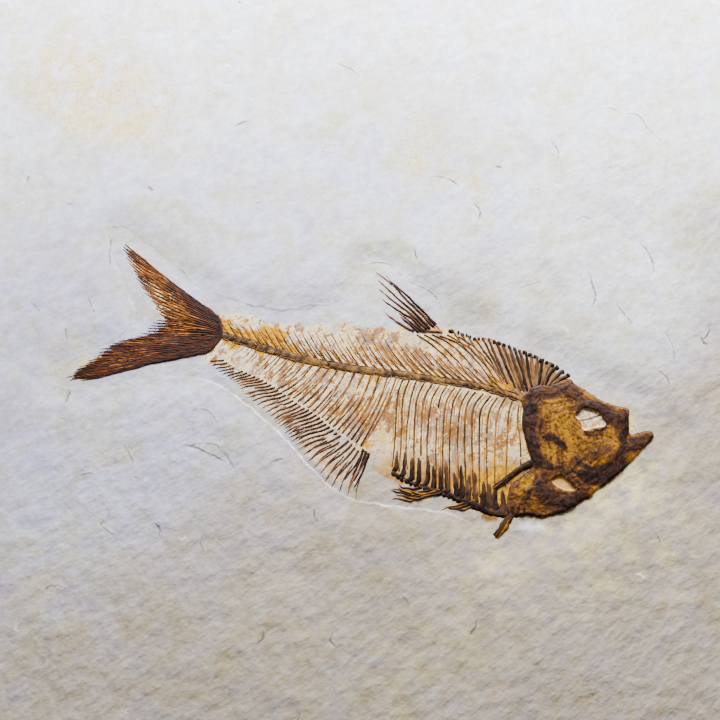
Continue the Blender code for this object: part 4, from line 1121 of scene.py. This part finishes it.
# Dark bones pressed into the amber ones: the path, the width, and how dark it is.
BANDS = (
    (((43, -20.2), (42.4, -23.8), (42.1, -27.1), (42.2, -30.3), (42.9, -33.6), (44.6, -36), (46.9, -37.2)),
     4.2, 0.85),
    (((42.3, -18.7), (45.8, -18), (49.9, -18.4), (52.9, -17.4), (55, -18.5)), 3.8, 0.45),
    (((53.2, -38.7), (56.9, -39.7), (60.7, -38.9), (63.5, -36.8), (65, -34.7)), 3.6, 0.7),
    (((56.2, -21.6), (59.7, -22.1), (62.2, -24.3), (64, -26), (65.7, -24.9)), 3.2, 0.75),
    (((43.4, -38.9), (43.8, -41.6), (45.5, -43.4), (47.8, -45), (51.2, -45.5), (53.9, -44.7)), 2.8, 0.7),
    (((60.1, -32), (62.4, -33.6), (60.9, -36)), 2.6, 0.5),
    (((55.5, -28.5), (58.2, -28.2), (61.8, -27.1)), 0.7, 1),
    (((45.2, -24.3), (44.5, -27.1), (44.6, -29.3)), 1.4, 0.35), (((42.9, -21.3), (44, -22.7)), 2.6, 0.95),
    (((45.5, -29.5), (47.9, -29.9), (49.7, -31.2), (50.4, -32.5), (49.8, -33.2)), 1.9, 1.1),
    (((42, -19.3), (44.4, -17.6), (46.9, -17.4), (49.4, -17.6), (52.3, -17.6), (54.4, -18.8), (56, -20.7)),
     3.6, 0.5),
    (((49.4, -16.6), (50.2, -18), (49.6, -19.3)), 0.7, 0.6),
    (((44.6, -45.6), (48, -46.9), (52, -45.6), (56.4, -42.6)), 4, 0.42),
    (((57.2, -34.6), (59.4, -33.9), (61.4, -34)), 3.2, 0.35),
    (((54.1, -23.4), (55.4, -21.8), (57.3, -21.3), (59.2, -22), (60.7, -23.5), (61.5, -25.4),
     (61.3, -26.8)), 1.3, 0.8),
    (((56.2, -21), (59.2, -21.6), (61.8, -23.2), (64.4, -24.9), (65.9, -26)), 2.6, 0.65),
    (((66.1, -22.7), (66.6, -25.2), (66.2, -27.6), (65.3, -29.8), (65, -32), (63.9, -34.1), (62.5, -35.7)),
     2, 0.85),
    (((65.9, -26.5), (65.8, -29.3)), 1.5, 1.1),
    (((55.6, -28.6), (58.2, -28.2), (60.4, -27.8), (61.9, -27.2)), 0.7, 1),
    (((55.4, -29.3), (58.1, -29), (60.9, -28.6)), 1.1, 0.45),
    (((53.2, -25.7), (53.7, -27.1), (54.4, -28.2)), 1.5, 0.5),
    (((53, -34.7), (53.9, -36), (56, -37.3), (58.6, -37.6), (60.8, -36.8), (63, -35.5)), 1.6, 0.95),
    (((52.2, -38.1), (54.3, -38.7), (56.4, -39.7), (59, -40.5), (61.1, -39.7), (63.4, -38.1),
     (65.6, -36.3)), 3, 0.85),
    (((52.7, -38.3), (54.8, -38.4), (56.9, -38.9), (60.1, -38.7)), 1.2, 1.2),
    (((66.9, -30.3), (68.8, -30.6), (70.4, -30.3), (72.4, -29.3)), 2.3, 0.6),
    (((66, -32), (67.8, -32.5), (69.7, -32), (71.4, -30.6)), 1.4, 0.7),
    (((49.7, -36), (50.1, -38.1), (51.4, -40.3), (52.8, -42.1), (53.7, -43.4)), 0.6, 0.9),
    (((50.9, -37.3), (51.6, -38.9), (53.1, -40.8), (54.6, -42.1)), 0.9, 0.6),
    (((43.5, -36.3), (45.9, -37.3), (48, -37.5), (49.9, -36.8)), 0.9, 0.8),
    (((43.1, -38.9), (43.3, -41.3), (45, -44), (47.5, -45.5), (50.2, -45.3), (53.4, -44.2)), 2.7, 0.75),
    (((45.6, -37.9), (44.9, -39.7), (45.7, -41.1)), 1.7, 0.5),
    (((47.2, -42.4), (49, -43.4), (51.3, -43.7), (52.9, -43.4)), 1.1, 0.6),
    (((37.9, -48.7), (41.1, -48.5), (44.2, -48.9), (47.4, -48.3), (50.1, -47.5), (52.8, -46.1)), 1.3,
     0.75),
    (((40.4, -45.3), (41.3, -43.4), (41.9, -42.1)), 1, 1),
    (((40, -42.6), (40.2, -44.2), (39.6, -45.3)), 0.9, 0.7),
    (((48, -46.1), (50.1, -46.6), (52.3, -45.7)), 1, 0.9), (((37, -48.4), (37.2, -46.6)), 0.8, 0.9),
    (((38.4, -48.4), (38.6, -46.8)), 0.7, 0.9), (((40, -48.4), (40.1, -47)), 0.6, 0.9))
AMBER = (
    (50.2, -22.4, 3.1, 0.6), (49.2, -25.2, 2.9, 0.6), (51.2, -28.2, 2.6, 0.5), (54.2, -31.4, 3.4, 1),
    (57.8, -33.6, 3, 0.1), (62.1, -30.3, 2.3, 0.3), (47.2, -33, 2.2, 0.8), (48.4, -34.9, 1.9, 0.6),
    (50.8, -24.6, 2.4, 0.4), (60, -31, 2.4, 0.3), (58.6, -42.3, 1.3, 0.9), (56.4, -43.6, 1, 0.7),
    (58.3, -18.8, 1.3, 0.4), (61.9, -21, 1.1, 0.4), (37.6, -43.2, 1.7, 0.5), (44.3, -46.6, 1.4, 0.3),
    (66.1, -34.4, 0.9, 0.5), (68.1, -29.3, 1, 0.4), (41.8, -45.3, 0.9, 0.5))
rim = even(SKULL, 420, closed=True)
outward = np.roll(rim, 1, axis=0) - np.roll(rim, -1, axis=0)
outward = np.stack([outward[:, 1], -outward[:, 0]], axis=1) / np.linalg.norm(outward, axis=1)[:, None]
rim = rim + outward * (0.16 * rough(rim, 0.8, 2.2) + 0.1 * rough(rim, 2.2, 6.2))[:, None]
inner = scattered(rim.min(0), rim.max(0), 0.24, 0.24, 17)
inner = inner[distance_to(inner, rim, closed=True)[0] < -0.14]
head, head_faces = fill_outline(rim, inner)
inside, along_rim = distance_to(head, rim, closed=True)
inside = -inside
rim_length = np.linalg.norm(np.diff(rim, axis=0), axis=1).sum()
wobble = 0.12 * rough(head, 1.1, 7.7)
eye_depth, window_depth, plate_depth = (
    wobble - distance_to(head, even(outline, count, closed=True), closed=True)[0]
    for outline, count in ((EYE, 60), (CHEEK_WINDOW, 50), (YELLOW_PLATE, 40)))
split = np.abs(distance_to(head, even(EYE_CRACK, 30))[0] + 0.14 * rough(head, 0.9, 19.7))
grain_run = np.column_stack([inside + 0.5 * rough(head, 0.3, 5.7), 0.22 * along_rim * rim_length,
                             0.3 * rough(head, 0.2, 4.4)])
fibres = np.array([noise.noise((a * 1.7, b * 2.6, 5.1)) + 0.7 * noise.noise((a * 3.9, b * 5.0, 9.7))
                   for a, b, _ in grain_run])
crack, plate_step = np.empty(len(head)), np.empty(len(head))
for k, (x, y) in enumerate(head):
    bend = 0.5 * noise.noise((x * 0.5, y * 0.5, 4.2))
    gaps_near, centres = noise.voronoi(((x + bend) * 0.2, (y - bend) * 0.2, 0.37))
    crack[k] = gaps_near[1] - gaps_near[0]
    plate_step[k] = noise.noise(centres[0] * 3.7)
bulge = 0.42 + 0.3 * ramp(inside, 0.0, 5.0) + 0.12 * rough(head, 0.22, 3.9)
relief = 0.08 * plate_step + 0.06 * rough(head, 0.9, 9.9) + 0.05 * rough(head, 2.4, 12.9) + 0.04 * fibres
relief = relief - 0.08 * (1 - ramp(crack, 0.0, 0.07))
dark = np.zeros(len(head))
for path, width, depth in BANDS:
    away, along = distance_to(head, even(path, 40))
    ends = np.clip((0.5 - np.abs(along - 0.5)) * 8, 0.35, 1)
    away = away + 0.22 * rough(head, 0.6, width * 7) + 0.2 * rough(head, 1.9, width * 3) + 0.3 * fibres
    away = np.abs(away) / (width / 2 * ends)
    relief = relief + (0.02 + 0.018 * width) * np.sqrt(np.clip(1 - away ** 2, 0, 1))
    dark = np.maximum(dark, depth * (1 - ramp(away, 0.5, 1.25)))
open_stone = ramp(np.maximum(eye_depth, window_depth), -0.2, 0.3)
height = bulge + relief
height = height * (1 - open_stone) + open_stone * (0.26 + 0.08 * rough(head, 0.7, 1.1))
height = height * (0.35 + 0.65 * ramp(inside, -0.05, 0.5))
top_count, ring_count = len(head), len(rim)
places = np.vstack([np.column_stack([head, pocket_floor(head) + height]),
                    np.column_stack([rim, np.full(ring_count, FLOOR - 0.3)])])
faces = head_faces + wall(0, top_count, ring_count) + underside(rim, top_count)


def down(values, rest=None):
    """The values of the head's upper points, then those of its lower edge."""
    lower = values[:ring_count] if rest is None else np.full(ring_count, rest)
    return np.concatenate([values, lower])


tone = 0.56 + 0.42 * np.clip(spots(head, AMBER), 0, 1) + 0.2 * fibres - 0.84 * dark
skull = mesh_object("skull_plates", places, faces, {
    "tone": down(np.clip(tone, -0.3, 1.3)), "stone": down(np.maximum(eye_depth, window_depth), -2.0),
    "window": down(window_depth, -2.0), "yellow": down(plate_depth, -2.0), "crack": down(crack),
    "split": down(split), "fibre": np.vstack([grain_run, grain_run[:ring_count]]) * MM,
})
# The bone is amber to purple-black with a grain that follows the plates' edges, and the stone
# that fills the eye and the window is cream, cracked across the eye.
finish, mix, shader, place = new_material("skull_mineral", 0.6, 0.14)
bone = bone_grain(mix, 0.7, (0.027, 0.010, 0.006), (0.094, 0.032, 0.006), (0.285, 0.113, 0.001))
own_tone = mix.mark("tone")
streaks = mix.clouds(place, 900.0, 4.0, 0.6)
flecks = mix.clouds(place, 1500.0, 5.0, 0.7)
sooty = mix.plus(own_tone, mix.ranged(streaks, 0.35, 0.65, -0.15, 0.15))
# Brighter gold streaks on the lightest amber and small gold flecks are painted highlights and glints on the
# bone.
gold_highlight = mix.times(mix.ranged(own_tone, 0.75, 1.1), mix.ranged(streaks, 0.48, 0.62))
glint = mix.times(mix.ranged(flecks, 0.46, 0.38, 0.0, 0.7), mix.ranged(own_tone, 0.3, 0.8))
colour = bone["Colour"]
for cover, wash in (
        (gold_highlight, (0.40, 0.185, 0.001)),
        (mix.ranged(flecks, 0.51, 0.6, 0.0, 0.75), (0.05, 0.016, 0.004)),
        (glint, (0.35, 0.15, 0.001)),
        (mix.ranged(sooty, -0.05, -0.3, 0.0, 0.85), (0.006, 0.0025, 0.002)),
        (mix.ranged(mix.mark("crack"), 0.0, 0.06, 0.5, 0.0), (0.01, 0.004, 0.003))):
    colour = mix.over(cover, colour, wash)
golden = mix.over(mix.ranged(streaks, 0.4, 0.6), (0.15, 0.055, 0.0001), (0.32, 0.155, 0.0001))
colour = mix.over(mix.ranged(mix.mark("yellow"), -0.05, 0.2), colour, golden)
cream = mix.over(mix.ranged(streaks, 0.42, 0.58), (0.46, 0.27, 0.09), (0.74, 0.60, 0.44))
cream = mix.over(mix.ranged(mix.mark("window"), -0.3, 0.0), cream, (0.50, 0.26, 0.065))
cream = mix.over(mix.ranged(mix.mark("split"), 0.1, 0.36, 0.95, 0.0), cream, (0.08, 0.04, 0.02))
colour = mix.over(mix.ranged(mix.mark("stone"), -0.06, 0.12), colour, cream)
mix.dress(shader, colour, mix.ranged(bone["Mottle"], 0.3, 0.7, 0.42, 0.72), bone["Height"])
stand_for(skull, finish, "skull_bone", "skull")


# Floor, camera and lights.
floor_mesh = bpy.data.meshes.new("floor")
corners = [(x, y, -0.0002) for x, y in ((-3, -3), (3, -3), (3, 3), (-3, 3))]
floor_mesh.from_pydata(corners, [], [(0, 1, 2, 3)])
floor = bpy.data.objects.new("floor", floor_mesh)
bpy.context.scene.collection.objects.link(floor)
plain, mix, shader, place = new_material("pale_floor", 0.8, 0.15)
shade = mix.over(mix.clouds(place, 3.0), (0.74, 0.73, 0.71), (0.78, 0.77, 0.755))
mix.feed(shade, shader.inputs["Base Color"])
floor_mesh.materials.append(plain)

eye = Vector((0.0, -0.0690, 0.2322))
aim = Vector((0.0, -0.010, 0.012))
camera_data = bpy.data.cameras.new("camera")
camera_data.lens = 45.0
camera_data.sensor_width = 36.0
camera_data.clip_start = 0.01
camera = bpy.data.objects.new("camera", camera_data)
camera.location = eye
camera.rotation_euler = (aim - eye).to_track_quat("-Z", "Y").to_euler()
bpy.context.scene.collection.objects.link(camera)
bpy.context.scene.camera = camera


def soft_light(name, at, target, size, power, colour):
    """A rectangular studio softbox."""
    data = bpy.data.lights.new(name, "AREA")
    data.shape = "RECTANGLE"
    data.size, data.size_y = size
    data.energy = power
    data.color = colour
    made = bpy.data.objects.new(name, data)
    made.location = at
    made.rotation_euler = (Vector(target) - Vector(at)).to_track_quat("-Z", "Y").to_euler()
    bpy.context.scene.collection.objects.link(made)


soft_light("key_light", (0.03, 0.31, 0.165), (0.0, 0.05, 0.01), (0.34, 0.10), 9.1, (0.95, 0.97, 1.0))
soft_light("fill_light", (-0.1, -0.5, 0.7), (0.0, 0.0, 0.01), (0.8, 0.6), 0.75, (1.0, 0.86, 0.72))
world = bpy.data.worlds.new("studio")
bpy.context.scene.world = world
world.use_nodes = True
world.node_tree.nodes["Background"].inputs["Color"].default_value = (0.95, 0.97, 1.0, 1.0)
world.node_tree.nodes["Background"].inputs["Strength"].default_value = 0.085
